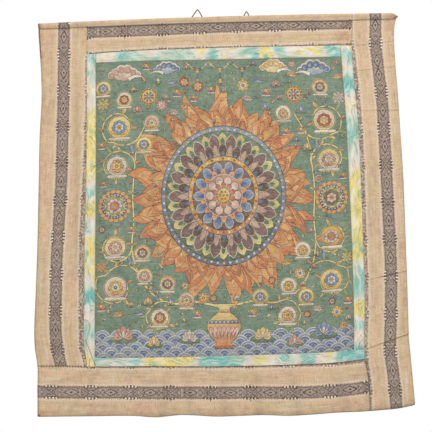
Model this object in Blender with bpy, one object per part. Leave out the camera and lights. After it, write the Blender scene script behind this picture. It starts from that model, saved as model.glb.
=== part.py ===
# A thangka scroll painting on its hanging rod: a painted canvas framed by four printed silk
# strips and four panels of figured handwoven cloth.  The upper ends of the panels are sewn
# into a sleeve round a slim wooden rod, and two string loops behind the sleeve carry it all.
#
# Frame: metres, +Z up, the picture faces -Y.  The origin lies midway between the two loops,
# where the hooks take them.  Tables and sizes below are in millimetres.

import bpy
import bmesh
from collections import namedtuple
from math import acos, cos, exp, hypot, pi, radians, sin, tan
from mathutils import Vector

MM = 0.001

# ---- driving sizes, mm ---------------------------------------------------------------------

GAP = 0.4                # air between pieces that touch
PANEL_THICKNESS = 1.4    # handwoven mount cloth
CANVAS_THICKNESS = 1.2   # sized cotton canvas
SILK_THICKNESS = 1.0     # printed silk, turned under at its edges
SEAM_LAP = 5.0           # how far one piece runs under the next at a seam
LAP_CLEAR = 3.0          # a panel's folds start this far outside the silk strip's edge
CLOTH_Y = -7.4           # middle of the hanging cloth, in front of the plane of the loops

ROD_DIAMETER = 8.0
ROD_LEFT_END = -446.5
ROD_RIGHT_END = 408.0
ROD_MIDDLE_Z = -20.5     # height of the rod's axis at the origin
ROD_DROOP = 4.5          # how far the bowed rod falls at ROD_HALF_SPAN from the middle
ROD_HALF_SPAN = 440.0
ROD_STEP = 50.0
ROD_SIDES = 16

SLEEVE_CLEARANCE = 0.3
SLEEVE_RIGHT_END = 430.0
SLEEVE_PINCH_START = 411.0   # past the rod the empty sleeve narrows to its end
SLEEVE_PINCH_SCALE = 0.55
SLEEVE_PINCH_DROP = 3.0
SLEEVE_STEPS = 10
SLEEVE_BUTT_GAP = 0.6    # air between the sleeves of neighbouring panels

LOOP_STRING = 2.8        # diameter of the loops' string
LOOP_FOOT_DROP = 5.0     # the string's ends lie this far below the rod's axis
LOOP_SHOULDER = 0.9      # drop of the bend over the hook at its sides, in half-widths
LOOP_STEP = 2.4          # spacing of the rings along the string
LOOP_SIDES = 8

ROW_PITCH = 26.0         # spacing of the rows of points down the cloth
COLUMN_PITCH = 28.0      # spacing of the columns of points across it
PANEL_COLUMNS = 4        # columns of faces across the right panel
PAINTING_COLUMNS = 20
SEAM_STEPS = (1.0, 5.0)  # a panel's edge steps under a silk strip this far in from its end

# Heights at which the upright lines are read for what runs across the cloth.
SLEEVE_LEVEL = -36.0
FIRST_ROW = -42.0        # first row of points below the sleeve
SECOND_ROW = -60.0
STRIP_TOP_LEVEL = -98.0
PICTURE_LEVEL = -480.0
STRIP_BOTTOM_LEVEL = -850.0
LAST_ROW = -950.0        # last row of points above the hem
HEM_LEVEL = -968.0

# ---- measured outlines, mm -----------------------------------------------------------------

# Upright lines at a row of heights: the cloth's two outer edges, the two long seams between
# the mount panels and what lies inside them, and the two sides of the picture.
Side = namedtuple("Side", "z left_edge left_seam picture_left picture_right right_seam right_edge")
SIDES = (
    Side(-20, -450.0, -331.3, -309.3, 284.0, 318.5, 430.0),
    Side(-48, -449.3, -332.0, -309.8, 285.0, 317.0, 420.5),
    Side(-90, -447.5, -333.0, -310.5, 286.0, 314.2, 416.8),
    Side(-150, -444.8, -334.0, -311.5, 288.0, 314.4, 417.2),
    Side(-210, -445.0, -335.0, -312.6, 290.0, 317.3, 419.5),
    Side(-300, -450.5, -336.5, -314.2, 292.5, 321.2, 421.2),
    Side(-430, -454.3, -340.0, -316.5, 293.8, 322.5, 423.3),
    Side(-560, -458.3, -345.3, -319.5, 294.6, 321.5, 422.0),
    Side(-690, -464.5, -348.3, -322.6, 293.0, 320.0, 420.5),
    Side(-760, -468.3, -350.5, -324.3, 291.3, 316.6, 419.3),
    Side(-805, -467.5, -350.6, -325.1, 289.6, 313.2, 418.3),
    Side(-850, -461.8, -344.5, -326.0, 287.3, 312.5, 420.2),
    Side(-900, -461.4, -343.0, -327.0, 285.0, 318.0, 422.0),
    Side(-985, -461.5, -342.0, -328.0, 283.0, 318.8, 424.6),
)

# Level lines at a row of places across: the upper edge of the top silk strip, the top and
# bottom of the picture, and the seam under the bottom silk strip and the left panel.
Level = namedtuple("Level", "x top_seam picture_top picture_bottom bottom_seam")
LEVELS = (
    Level(-465, -104.0, -122.0, -833.0, -849.5),
    Level(-333, -100.5, -122.0, -834.0, -854.2),
    Level(-280, -97.0, -121.5, -834.8, -855.4),
    Level(-180, -93.8, -120.6, -836.6, -857.3),
    Level(-77, -93.3, -122.0, -837.6, -861.0),
    Level(41, -93.2, -123.1, -838.0, -863.2),
    Level(136, -94.0, -123.5, -837.6, -863.0),
    Level(230, -95.0, -123.8, -835.8, -861.8),
    Level(278, -95.8, -124.4, -833.4, -858.2),
    Level(322, -97.6, -125.4, -831.4, -853.0),
)

# The lowest edge, with the dips of its soft flutes.
Hem = namedtuple("Hem", "x z")
HEM = (
    Hem(-462, -966.3), Hem(-353, -967.7), Hem(-240, -969.6), Hem(-184, -973.8), Hem(-122, -971.2),
    Hem(-42, -976.4), Hem(30, -977.2), Hem(70, -976.9), Hem(125, -979.5), Hem(180, -978.8),
    Hem(240, -976.2), Hem(325, -973.9), Hem(381, -970.6), Hem(410, -966.0), Hem(428, -961.8),
)

# Depth of the sleeve's seam below the rod's axis, in inner radii: it is sewn on a slant.
SleeveSeam = namedtuple("SleeveSeam", "x ratio")
SLEEVE_SEAMS = (
    SleeveSeam(-450, 1.95), SleeveSeam(-300, 1.95), SleeveSeam(-80, 2.05), SleeveSeam(60, 2.2),
    SleeveSeam(180, 2.4), SleeveSeam(270, 2.55), SleeveSeam(305, 2.5), SleeveSeam(340, 2.15),
    SleeveSeam(430, 2.1),
)

# ---- measured folds, mm --------------------------------------------------------------------

# Ridges and troughs that run along a line.  A positive height stands towards the viewer.
Fold = namedtuple("Fold", "x0 z0 x1 z1 half_width height")
FOLDS = (
    Fold(-368, -150, -374, -640, 11, -2.2),     # long soft trough down the left panel
    Fold(-425, -690, -440, -850, 16, 3.0),      # swing of the left edge above the corner
    Fold(-452, -900, -350, -862, 13, 2.2),      # drag from the lower left corner to the seam
    Fold(-395, -955, -330, -872, 12, -1.8),
    Fold(-187, -975, -180, -895, 26, 4.0),      # flutes above the hem
    Fold(-120, -975, -126, -900, 22, -2.4),
    Fold(-42, -975, -46, -900, 27, 4.2),
    Fold(40, -975, 36, -905, 24, -2.6),
    Fold(128, -975, 118, -905, 30, 4.4),
    Fold(238, -975, 228, -905, 26, -2.8),
    Fold(300, -970, 304, -900, 18, 2.0),
)

FOLD_RUN_OUT = 1.6       # a fold dies out past its ends over this many half-widths

# Creases across the right panel, left from the time it was rolled: their heights at the
# seam and at the outer edge, half-width and height.
Crease = namedtuple("Crease", "seam_z edge_z half_width height")
RIGHT_CREASES = (
    Crease(-160, -152, 6, 1.5),
    Crease(-258, -260, 7, -1.3),
    Crease(-669, -649, 7, 2.6),
    Crease(-831, -798, 7, 3.4),
)
CREASE_FADE = 16.0       # a crease dies out over this distance from the seam
CREASE_ROWS = (-2.0, -0.9, 0.0, 0.9, 2.0)    # rows of points along a crease, in half-widths
CREASE_CLEAR = 21.0      # level rows of points keep this far from a crease

# Soft rolls across the picture, from being stored rolled up: height, reach and swell.
Roll = namedtuple("Roll", "z half_width height")
PICTURE_ROLLS = (
    Roll(-190, 26, 0.9),
    Roll(-290, 24, -1.1),
    Roll(-400, 24, 1.0),
    Roll(-502, 22, -1.6),
    Roll(-610, 26, 1.3),
    Roll(-720, 24, -1.1),
)

ROLL_FADE = 60.0         # the rolls die out over this distance towards the picture's sides

HEM_CURL_START = -830.0  # below this the cloth swings towards the viewer
HEM_CURL = 7.0
EDGE_REACH = 70.0        # width of the outer margins that curl
LEFT_EDGE_CURL = -4.0
RIGHT_EDGE_CURL = 3.0
SWAY = 2.0               # height of the broad waves
SWAY_ACROSS = 470.0      # their length across and down
SWAY_DOWN = 620.0
SWAY_START_ACROSS = 0.6  # their phase at the origin, radians
SWAY_START_DOWN = -0.4
RELIEF_TOP = -36.0       # the cloth is held flat at the sleeve and eases over RELIEF_EASE
RELIEF_EASE = 70.0


# ---- curves through the tables -------------------------------------------------------------

def smooth_step(value):
    """Ease from 0 to 1 as value goes from 0 to 1."""
    value = min(1.0, max(0.0, value))
    return value * value * (3.0 - 2.0 * value)


def read_table(rows, key, column, at):
    """Read a column of a table at a value of its key column, on a smooth curve."""
    points = sorted((getattr(row, key), getattr(row, column)) for row in rows)
    at = min(points[-1][0], max(points[0][0], at))
    index = max(i for i in range(len(points) - 1) if points[i][0] <= at)

    def slope(i):
        before, after = points[max(i - 1, 0)], points[min(i + 1, len(points) - 1)]
        return (after[1] - before[1]) / (after[0] - before[0])

    (start, low), (end, high) = points[index], points[index + 1]
    span = end - start
    t = (at - start) / span
    return ((2 * t**3 - 3 * t**2 + 1) * low + (t**3 - 2 * t**2 + t) * span * slope(index)
            + (3 * t**2 - 2 * t**3) * high + (t**3 - t**2) * span * slope(index + 1))


def side(column, z):
    return read_table(SIDES, "z", column, z)


def level(column, x):
    return read_table(LEVELS, "x", column, x)


def hem(x):
    return read_table(HEM, "x", "z", x)


# ---- the cloth's relief --------------------------------------------------------------------

def ridge(x, z, fold):
    """Height of one soft ridge or trough at a point of the cloth."""
    dx, dz = fold.x1 - fold.x0, fold.z1 - fold.z0
    length = hypot(dx, dz)
    along = ((x - fold.x0) * dx + (z - fold.z0) * dz) / length
    across = ((x - fold.x0) * dz - (z - fold.z0) * dx) / length
    past = max(0.0, -along, along - length)
    run_out = FOLD_RUN_OUT * fold.half_width
    return fold.height * exp(-(across / fold.half_width)**2 - (past / run_out)**2)


def crease_height(x, z):
    """Height of the right panel's creases at a point."""
    seam_x, edge_x = side("right_seam", z), side("right_edge", z)
    if x < seam_x:
        return 0.0
    share = (x - seam_x) / (edge_x - seam_x)
    fade = smooth_step((x - seam_x - LAP_CLEAR) / CREASE_FADE)
    total = 0.0
    for crease in RIGHT_CREASES:
        line_z = crease.seam_z + (crease.edge_z - crease.seam_z) * share
        total += crease.height * fade * exp(-((z - line_z) / crease.half_width)**2)
    return total


def relief(x, z):
    """How far the cloth stands towards the viewer from its hanging plane."""
    sway_across = sin(2 * pi * x / SWAY_ACROSS + SWAY_START_ACROSS)
    sway_down = cos(2 * pi * z / SWAY_DOWN + SWAY_START_DOWN)
    height = SWAY * sway_across * sway_down
    height += HEM_CURL * smooth_step((HEM_CURL_START - z) / (HEM_CURL_START - hem(x)))
    from_left = (x - side("left_edge", z)) / EDGE_REACH
    from_right = (side("right_edge", z) - x) / EDGE_REACH
    height += LEFT_EDGE_CURL * max(0.0, 1.0 - from_left)**2
    height += RIGHT_EDGE_CURL * max(0.0, 1.0 - from_right)**2
    height += sum(ridge(x, z, fold) for fold in FOLDS)
    inside_left = smooth_step((x - side("picture_left", z)) / ROLL_FADE)
    inside_right = smooth_step((side("picture_right", z) - x) / ROLL_FADE)
    for roll in PICTURE_ROLLS:
        swell = exp(-((z - roll.z) / roll.half_width)**2)
        height += roll.height * swell * inside_left * inside_right
    height += crease_height(x, z)
    return height * smooth_step((RELIEF_TOP - z) / RELIEF_EASE)


# ---- the rod and its sleeve ----------------------------------------------------------------

def rod_z(x):
    return ROD_MIDDLE_Z - ROD_DROOP * (x / ROD_HALF_SPAN)**2


def sleeve_pinch(x):
    """How far the sleeve has narrowed, from 0 on the rod to 1 at its right end."""
    return smooth_step((x - SLEEVE_PINCH_START) / (SLEEVE_RIGHT_END - SLEEVE_PINCH_START))


def sleeve_inner_radius(x):
    open_radius = ROD_DIAMETER / 2 + SLEEVE_CLEARANCE
    return open_radius * (1.0 - (1.0 - SLEEVE_PINCH_SCALE) * sleeve_pinch(x))


def sleeve_axis_z(x):
    return rod_z(x) - SLEEVE_PINCH_DROP * sleeve_pinch(x)


def sleeve_seam_ratio(x):
    return read_table(SLEEVE_SEAMS, "x", "ratio", x)


def sleeve_wrap_start(x):
    """Angle at which the wrap leaves the seam and meets the rod's clearance, radians."""
    return acos(1.0 / sleeve_seam_ratio(x))


def sleeve_seam(x):
    """Height at which the sleeve's two plies meet inside."""
    return sleeve_axis_z(x) - sleeve_inner_radius(x) * sleeve_seam_ratio(x)


def sleeve_foot(x):
    """Height at which the sleeve's outer faces have come together to one cloth."""
    outer_radius, start = sleeve_inner_radius(x) + PANEL_THICKNESS, sleeve_wrap_start(x)
    wrap_drop = outer_radius * cos(start)
    wrap_out = outer_radius * sin(start) - PANEL_THICKNESS / 2
    return sleeve_axis_z(x) - wrap_drop - wrap_out * tan(start)


# ---- meshes --------------------------------------------------------------------------------

def colour_material(name, colour, roughness):
    material = bpy.data.materials.new(name)
    material.use_nodes = True
    shader = material.node_tree.nodes["Principled BSDF"]
    shader.inputs["Base Color"].default_value = (*colour, 1.0)
    shader.inputs["Roughness"].default_value = roughness
    shader.inputs["Metallic"].default_value = 0.0
    return material


def add_object(name, mesh, material, smooth_angle=None):
    scene_object = bpy.data.objects.new(name, mesh)
    bpy.context.scene.collection.objects.link(scene_object)
    mesh.materials.append(material)
    if smooth_angle is not None:
        mesh.shade_smooth()
        mesh.set_sharp_from_angle(angle=smooth_angle)
    return scene_object


def finish_mesh(name, shape, material, smooth_angle):
    bmesh.ops.recalc_face_normals(shape, faces=shape.faces)
    mesh = bpy.data.meshes.new(name)
    shape.to_mesh(mesh)
    shape.free()
    return add_object(name, mesh, material, smooth_angle)


def cloth_point(x, z, offset):
    """A point of the cloth, a little behind (+) or before (-) its hanging surface."""
    return Vector((x * MM, (CLOTH_Y - relief(x, z) + offset) * MM, z * MM))


def add_sleeve(shape, columns, front_row, back_row):
    """Carry the top row of a sheet round the rod and sew it to its own back."""
    outer_chains, inner_chains = [], []
    for x in columns:
        inner_radius, start = sleeve_inner_radius(x), sleeve_wrap_start(x)
        outer, inner = [], [Vector((x, CLOTH_Y, sleeve_seam(x)))]
        for step in range(SLEEVE_STEPS + 1):
            angle = start + (2 * pi - 2 * start) * step / SLEEVE_STEPS
            for chain, radius in ((outer, inner_radius + PANEL_THICKNESS), (inner, inner_radius)):
                y, z = CLOTH_Y - radius * sin(angle), sleeve_axis_z(x) - radius * cos(angle)
                chain.append(Vector((x, y, z)))
        outer_chains.append([shape.verts.new(point * MM) for point in outer])
        inner_chains.append([shape.verts.new(point * MM) for point in inner])
    for i in range(len(columns) - 1):
        near = [front_row[i]] + outer_chains[i] + [back_row[i]]
        far = [front_row[i + 1]] + outer_chains[i + 1] + [back_row[i + 1]]
        for k in range(len(near) - 1):
            shape.faces.new((near[k], near[k + 1], far[k + 1], far[k]))
        near = inner_chains[i] + inner_chains[i][:1]
        far = inner_chains[i + 1] + inner_chains[i + 1][:1]
        for k in range(len(near) - 1):
            shape.faces.new((near[k + 1], near[k], far[k], far[k + 1]))
    for end in (0, -1):
        outer, inner = outer_chains[end], inner_chains[end]
        seam, wrap = inner[0], inner[1:]
        for k in range(SLEEVE_STEPS):
            shape.faces.new((outer[k], outer[k + 1], wrap[k + 1], wrap[k]))
        shape.faces.new((front_row[end], outer[0], wrap[0], seam))
        shape.faces.new((seam, wrap[-1], outer[-1], back_row[end]))
        shape.faces.new((front_row[end], seam, back_row[end]))


def make_sheet(name, rows, thickness, front_offset, material, sleeve_columns=None):
    """Build a sheet from rows of (x, z, tuck) points, top row first.

    tuck sets a point back behind the hanging surface.  front_offset places the front face.
    With sleeve_columns the top row is carried round the rod.
    """
    shape = bmesh.new()
    front, back = [], []
    for row in rows:
        front.append([shape.verts.new(cloth_point(x, z, front_offset + tuck)) for x, z, tuck in row])
        back.append([shape.verts.new(cloth_point(x, z, front_offset + tuck + thickness))
                     for x, z, tuck in row])
    for grid in (front, back):
        for upper, lower in zip(grid, grid[1:]):
            for i in range(len(upper) - 1):
                shape.faces.new((upper[i], upper[i + 1], lower[i + 1], lower[i]))
    for i in range(len(rows[0]) - 1):
        shape.faces.new((front[-1][i], front[-1][i + 1], back[-1][i + 1], back[-1][i]))
        if sleeve_columns is None:
            shape.faces.new((front[0][i], front[0][i + 1], back[0][i + 1], back[0][i]))
    for k in range(len(rows) - 1):
        for i in (0, -1):
            shape.faces.new((front[k][i], front[k + 1][i], back[k + 1][i], back[k][i]))
    if sleeve_columns is not None:
        add_sleeve(shape, sleeve_columns, front[0], back[0])
    return finish_mesh(name, shape, material, radians(40))


def spread(start, end, pitch, fixed=()):
    """Even steps from start to end about a pitch apart.  Fixed values are let in, and take the
    place of steps close to them."""
    count = max(1, round(abs(end - start) / pitch))
    values = [start + (end - start) * i / count for i in range(count + 1)]
    inner = [value for value in values[1:-1]
             if all(abs(value - other) >= pitch / 4 for other in fixed)]
    return sorted([values[0], values[-1], *inner, *fixed], reverse=end < start)


def even_shares(count):
    return [i / count for i in range(count + 1)]


def between(start, end, share):
    return start + (end - start) * share


def make_tube(name, centres, radius, sides, material):
    """A closed round tube through a smooth row of centres that lie in the XZ plane."""
    shape = bmesh.new()
    rings = []
    for i, centre in enumerate(centres):
        ahead = centres[min(i + 1, len(centres) - 1)] - centres[max(i - 1, 0)]
        ahead.normalize()
        level_axis = Vector((0, 1, 0))
        cross_axis = ahead.cross(level_axis)
        ring = []
        for k in range(sides):
            angle = 2 * pi * k / sides
            ring.append(shape.verts.new(centre + radius * (
                cos(angle) * level_axis + sin(angle) * cross_axis)))
        rings.append(ring)
    for near, far in zip(rings, rings[1:]):
        for k in range(sides):
            shape.faces.new((near[k], near[(k + 1) % sides], far[(k + 1) % sides], far[k]))
    shape.faces.new(rings[0])
    shape.faces.new(rings[-1])
    return finish_mesh(name, shape, material, radians(50))


# ---- the pieces ----------------------------------------------------------------------------

PANEL_FRONT = -PANEL_THICKNESS / 2
CANVAS_FRONT = PANEL_THICKNESS / 2 - CANVAS_THICKNESS   # the backs are flush
SILK_FRONT = PANEL_FRONT - GAP - SILK_THICKNESS
TUCK_DEPTH = PANEL_THICKNESS + GAP      # set-back of a piece that runs under another
TUCK_EASE = 24.0                        # and how far it takes to come forward again
TUCK_FLAT = 2.0                         # after this much at full depth
STRIP_TUCK_SHARE = 0.35                 # share of it that is left under the bottom silk strip


def make_rod():
    centres = [Vector((x, CLOTH_Y, rod_z(x))) * MM
               for x in spread(ROD_LEFT_END, ROD_RIGHT_END, ROD_STEP)]
    wood = colour_material("rod wood", (0.42, 0.27, 0.15), 0.6)
    make_tube("rod", centres, ROD_DIAMETER / 2 * MM, ROD_SIDES, wood)


def left_panel_columns(z, inner_edge):
    """Places across the left panel at a height; the bottom panel shares them at its seam."""
    clear_x = side("left_seam", z) - LAP_CLEAR
    return spread(side("left_edge", z), clear_x, COLUMN_PITCH) + [inner_edge]


def make_left_panel(cloth):
    """From the sleeve down to the bottom seam; its inner edge laps over the top panel and
    then runs under the left silk strip."""
    strip_top = level("top_seam", side("left_seam", STRIP_TOP_LEVEL))
    seam_z = level("bottom_seam", side("left_edge", STRIP_BOTTOM_LEVEL))
    steps = [strip_top - step for step in SEAM_STEPS]
    heights = [FIRST_ROW] + spread(SECOND_ROW, seam_z + ROW_PITCH / 2, ROW_PITCH, steps)
    sleeve_xs = left_panel_columns(SLEEVE_LEVEL, side("left_seam", SLEEVE_LEVEL))
    rows = [[(x, sleeve_foot(x), 0.0) for x in sleeve_xs]]
    for z in heights + [seam_z]:
        lap = SEAM_LAP if z <= steps[-1] else 0.0
        xs = left_panel_columns(z, side("left_seam", z) + lap)
        rows.append([(x, level("bottom_seam", x) if z == seam_z else z, 0.0) for x in xs])
    make_sheet("left_panel", rows, PANEL_THICKNESS, PANEL_FRONT, cloth, sleeve_xs)


def right_panel_lines():
    """Heights of the rows of points at the right panel's seam and at its outer edge: level
    rows, rows that follow the creases, and rows where its edge steps under the strip."""
    lines = [(z, z) for z in spread(SECOND_ROW, LAST_ROW, ROW_PITCH)]
    for crease in RIGHT_CREASES:
        lines = [line for line in lines if min(abs(line[0] - crease.seam_z),
                                               abs(line[1] - crease.edge_z)) > CREASE_CLEAR]
        for share in CREASE_ROWS:
            step = share * crease.half_width
            lines.append((crease.seam_z + step, crease.edge_z + step))
    strip_top = level("top_seam", side("right_seam", STRIP_TOP_LEVEL))
    strip_bottom = level("bottom_seam", side("right_seam", STRIP_BOTTOM_LEVEL))
    for step in SEAM_STEPS:
        lines += [(strip_top - step, strip_top - step), (strip_bottom + step, strip_bottom + step)]
    lapped = (strip_bottom + SEAM_STEPS[-1], strip_top - SEAM_STEPS[-1])
    return [(FIRST_ROW, FIRST_ROW)] + sorted(lines, reverse=True), lapped


def make_right_panel(cloth):
    """From the sleeve down to the hem, its inner edge under the right silk strip."""
    sleeve_x = side("right_seam", SLEEVE_LEVEL)
    clear_x = sleeve_x + LAP_CLEAR
    sleeve_xs = [sleeve_x] + [between(clear_x, SLEEVE_PINCH_START, share)
                              for share in even_shares(PANEL_COLUMNS - 1)] + [SLEEVE_RIGHT_END]
    rows = [[(x, sleeve_foot(x), 0.0) for x in sleeve_xs]]
    lines, (lap_bottom, lap_top) = right_panel_lines()
    hem_line = (hem(side("right_seam", HEM_LEVEL)), hem(side("right_edge", HEM_LEVEL)))
    for seam_z, edge_z in lines + [hem_line]:
        lap = SEAM_LAP if lap_bottom <= seam_z <= lap_top else 0.0
        inner_edge, outer_edge = side("right_seam", seam_z) - lap, side("right_edge", edge_z)
        clear_x = side("right_seam", seam_z) + LAP_CLEAR
        row = []
        for x in [inner_edge] + [between(clear_x, outer_edge, share)
                                 for share in even_shares(PANEL_COLUMNS)]:
            z = between(seam_z, edge_z, (x - inner_edge) / (outer_edge - inner_edge))
            row.append((x, hem(x) if seam_z == hem_line[0] else z, 0.0))
        rows.append(row)
    make_sheet("right_panel", rows, PANEL_THICKNESS, PANEL_FRONT, cloth, sleeve_xs)


TOP_TUCK_DROP = 9.0      # below the sleeve's foot the top panel's ends are set back by here
TOP_LAP_DROP = 16.0      # and from here on they reach behind the side panels
TOP_ROWS = 3


def make_top_panel(cloth):
    """Between the side panels: its sleeve ends at their seams, and below the sleeve its ends
    run behind them.  Its lower edge runs under the top silk strip."""
    left_x = side("left_seam", SLEEVE_LEVEL) + SLEEVE_BUTT_GAP
    right_x = side("right_seam", SLEEVE_LEVEL) - SLEEVE_BUTT_GAP
    middle_x = (left_x + right_x) / 2
    inner = spread(left_x + TUCK_EASE, right_x - TUCK_EASE, COLUMN_PITCH)
    places = [left_x, left_x + TUCK_EASE / 2] + inner + [right_x - TUCK_EASE / 2, right_x]

    def row(lap, tucked, height):
        """A row that passes the seams by lap, at the heights that height(x) gives."""
        points = []
        for place in places:
            x = middle_x + (place - middle_x) * (1.0 + 2.0 * lap / (right_x - left_x))
            from_end = min(x - left_x, right_x - x)
            tuck = 1.0 - smooth_step((from_end - TUCK_FLAT) / (TUCK_EASE - TUCK_FLAT))
            points.append((x, height(x), TUCK_DEPTH * tuck if tucked else 0.0))
        return points

    def lap_row(share):
        return row(SEAM_LAP, True, lambda x: between(
            sleeve_foot(x) - TOP_LAP_DROP, level("top_seam", x) - SEAM_LAP, share))

    rows = [row(0.0, False, sleeve_foot), row(0.0, True, lambda x: sleeve_foot(x) - TOP_TUCK_DROP)]
    rows += [lap_row(share) for share in even_shares(TOP_ROWS)]
    make_sheet("top_panel", rows, PANEL_THICKNESS, PANEL_FRONT, cloth, [x for x, _, _ in rows[0]])


BOTTOM_COLUMN_PITCH = 23.8                                # close enough for the flutes
BOTTOM_ROWS = (0.0, 0.08, 0.2, 0.42, 0.64, 0.84, 1.0)    # from the top edge to the hem


def make_bottom_panel(cloth):
    """Sewn under the left panel and the bottom silk strip, its right end under the right
    panel, its lower edge the hem."""
    lap_end = side("left_seam", STRIP_BOTTOM_LEVEL) + SEAM_LAP
    deep_left = lap_end + LAP_CLEAR
    deep_right = side("right_seam", STRIP_BOTTOM_LEVEL) - SEAM_LAP - LAP_CLEAR
    first_xs = left_panel_columns(STRIP_BOTTOM_LEVEL, lap_end)
    last_x = side("right_seam", STRIP_BOTTOM_LEVEL) + SEAM_LAP
    xs = first_xs + spread(lap_end, last_x, BOTTOM_COLUMN_PITCH,
                           (deep_right - TUCK_EASE, deep_right))[1:]

    def tuck(x, z):
        """Set back under the left panel, less so under the silk strip, and under the right
        panel, and forward again below the seam."""
        near_left = 1.0 - smooth_step((x - deep_left) / TUCK_EASE)
        near_right = smooth_step((x - deep_right + TUCK_EASE) / TUCK_EASE)
        at_seam = max(near_left, near_right, STRIP_TUCK_SHARE)
        below_seam = smooth_step((level("bottom_seam", x) - z - TUCK_FLAT) / TUCK_EASE)
        under_right = smooth_step((x - side("right_seam", z) + TUCK_EASE) / (TUCK_EASE - TUCK_FLAT))
        return TUCK_DEPTH * max(at_seam * (1.0 - below_seam), under_right)

    rows = []
    for share in BOTTOM_ROWS:
        row = []
        for place in xs:
            z = between(level("bottom_seam", place) + SEAM_LAP, hem(place), share)
            x = between(side("left_edge", z), side("right_seam", z) + SEAM_LAP,
                        (place - xs[0]) / (xs[-1] - xs[0]))
            row.append((x, z, tuck(x, z)))
        rows.append(row)
    make_sheet("bottom_panel", rows, PANEL_THICKNESS, PANEL_FRONT, cloth)


def make_painting(canvas):
    """The painted canvas with its margins under the silk strips."""
    margin = SEAM_LAP + GAP
    left_x, right_x = side("left_seam", PICTURE_LEVEL), side("right_seam", PICTURE_LEVEL)
    height = level("top_seam", 0.0) - level("bottom_seam", 0.0)
    rows = []
    for down in even_shares(round(height / ROW_PITCH)):
        row = []
        for across in even_shares(PAINTING_COLUMNS):
            place = between(left_x, right_x, across)
            z = between(level("top_seam", place) - margin, level("bottom_seam", place) + margin, down)
            x = between(side("left_seam", z) + margin, side("right_seam", z) - margin, across)
            row.append((x, z, 0.0))
        rows.append(row)
    make_sheet("painting", rows, CANVAS_THICKNESS, CANVAS_FRONT, canvas)


STRIP_COLUMNS = 2        # columns of faces across a silk strip
STRIP_END_GAP = 0.9      # air at the ends of the level strips


def make_upright_strip(name, outer, inner, bottom, silk):
    """A silk strip down one side of the picture, between two upright lines."""
    corner_x = side(outer, STRIP_TOP_LEVEL)
    top_z, bottom_z = level("top_seam", corner_x), level(bottom, corner_x)
    rows = []
    for down in even_shares(round((top_z - bottom_z) / ROW_PITCH)):
        at = between(top_z, bottom_z, down)
        row = []
        for across in even_shares(STRIP_COLUMNS):
            x = between(side(outer, at), side(inner, at), across)
            row.append((x, between(level("top_seam", x), level(bottom, x), down), 0.0))
        rows.append(sorted(row))
    make_sheet(name, rows, SILK_THICKNESS, SILK_FRONT, silk)


def make_level_strip(name, upper, lower, left_x, right_x, silk):
    """A silk strip above or below the picture, between two level lines."""
    rows = []
    for down in even_shares(STRIP_COLUMNS):
        rows.append([(x, between(upper(x), lower(x), down), 0.0)
                     for x in spread(left_x, right_x, COLUMN_PITCH)])
    make_sheet(name, rows, SILK_THICKNESS, SILK_FRONT, silk)


def make_silk_strips(silk):
    make_upright_strip("border_left", "left_seam", "picture_left", "bottom_seam", silk)
    make_upright_strip("border_right", "right_seam", "picture_right", "picture_bottom", silk)
    make_level_strip("border_top", lambda x: level("top_seam", x), lambda x: level("picture_top", x),
                     side("picture_left", STRIP_TOP_LEVEL) + STRIP_END_GAP,
                     side("picture_right", STRIP_TOP_LEVEL) - STRIP_END_GAP, silk)
    make_level_strip("border_bottom", lambda x: level("picture_bottom", x) - GAP,
                     lambda x: level("bottom_seam", x),
                     side("picture_left", STRIP_BOTTOM_LEVEL) + STRIP_END_GAP,
                     side("right_seam", STRIP_BOTTOM_LEVEL), silk)


# The loops: their two feet at the sleeve's back, their tops, and the half-width of the bend
# over the hook, all at the string's middle line.
Loop = namedtuple("Loop", "name left_foot top_x top_z right_foot bend")
LOOPS = (
    Loop("loop_left", -75.0, -60.0, 5.4, -48.2, 3.4),
    Loop("loop_right", 53.6, 60.2, -2.7, 66.2, 2.6),
)


def loop_centres(loop):
    """The string's middle line: up from one foot, over the hook and down to the other."""
    foot_z = rod_z(loop.top_x) - LOOP_FOOT_DROP
    sleeve_top = rod_z(loop.top_x) + sleeve_inner_radius(loop.top_x) + PANEL_THICKNESS
    shoulder_z = loop.top_z - loop.bend * LOOP_SHOULDER
    guide = [
        Vector((loop.left_foot, 0, foot_z)),
        Vector((loop.left_foot, 0, sleeve_top)),
        Vector((loop.top_x - loop.bend, 0, shoulder_z)),
        Vector((loop.top_x, 0, loop.top_z)),
        Vector((loop.top_x + loop.bend, 0, shoulder_z)),
        Vector((loop.right_foot, 0, sleeve_top)),
        Vector((loop.right_foot, 0, foot_z)),
    ]
    padded = [2 * guide[0] - guide[1]] + guide + [2 * guide[-1] - guide[-2]]
    centres = []
    for i in range(1, len(padded) - 2):
        before, start, end, after = padded[i - 1:i + 3]
        steps = max(2, round((end - start).length / LOOP_STEP))
        for k in range(steps):
            t = k / steps
            centres.append(0.5 * (2 * start + (end - before) * t
                                  + (2 * before - 5 * start + 4 * end - after) * t**2
                                  + (3 * start - before - 3 * end + after) * t**3) * MM)
    centres.append(guide[-1] * MM)
    return centres


def make_loops():
    string = colour_material("loop string", (0.52, 0.46, 0.38), 0.85)
    for loop in LOOPS:
        make_tube(loop.name, loop_centres(loop), LOOP_STRING / 2 * MM, LOOP_SIDES, string)


def main():
    for old in list(bpy.data.objects):
        bpy.data.objects.remove(old, do_unlink=True)
    cloth = colour_material("handwoven tan cloth", (0.62, 0.45, 0.30), 0.9)
    canvas = colour_material("painted canvas", (0.22, 0.30, 0.20), 0.85)
    silk = colour_material("printed silk", (0.66, 0.70, 0.50), 0.5)
    make_rod()
    make_left_panel(cloth)
    make_top_panel(cloth)
    make_right_panel(cloth)
    make_bottom_panel(cloth)
    make_silk_strips(silk)
    make_painting(canvas)
    make_loops()


main()
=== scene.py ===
import bmesh
import bpy
import random
from bisect import bisect_right
from math import acos, atan2, ceil, cos, exp, hypot, log, pi, radians, sin
from mathutils import Matrix, Vector, noise
from mathutils.geometry import delaunay_2d_cdt


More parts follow.
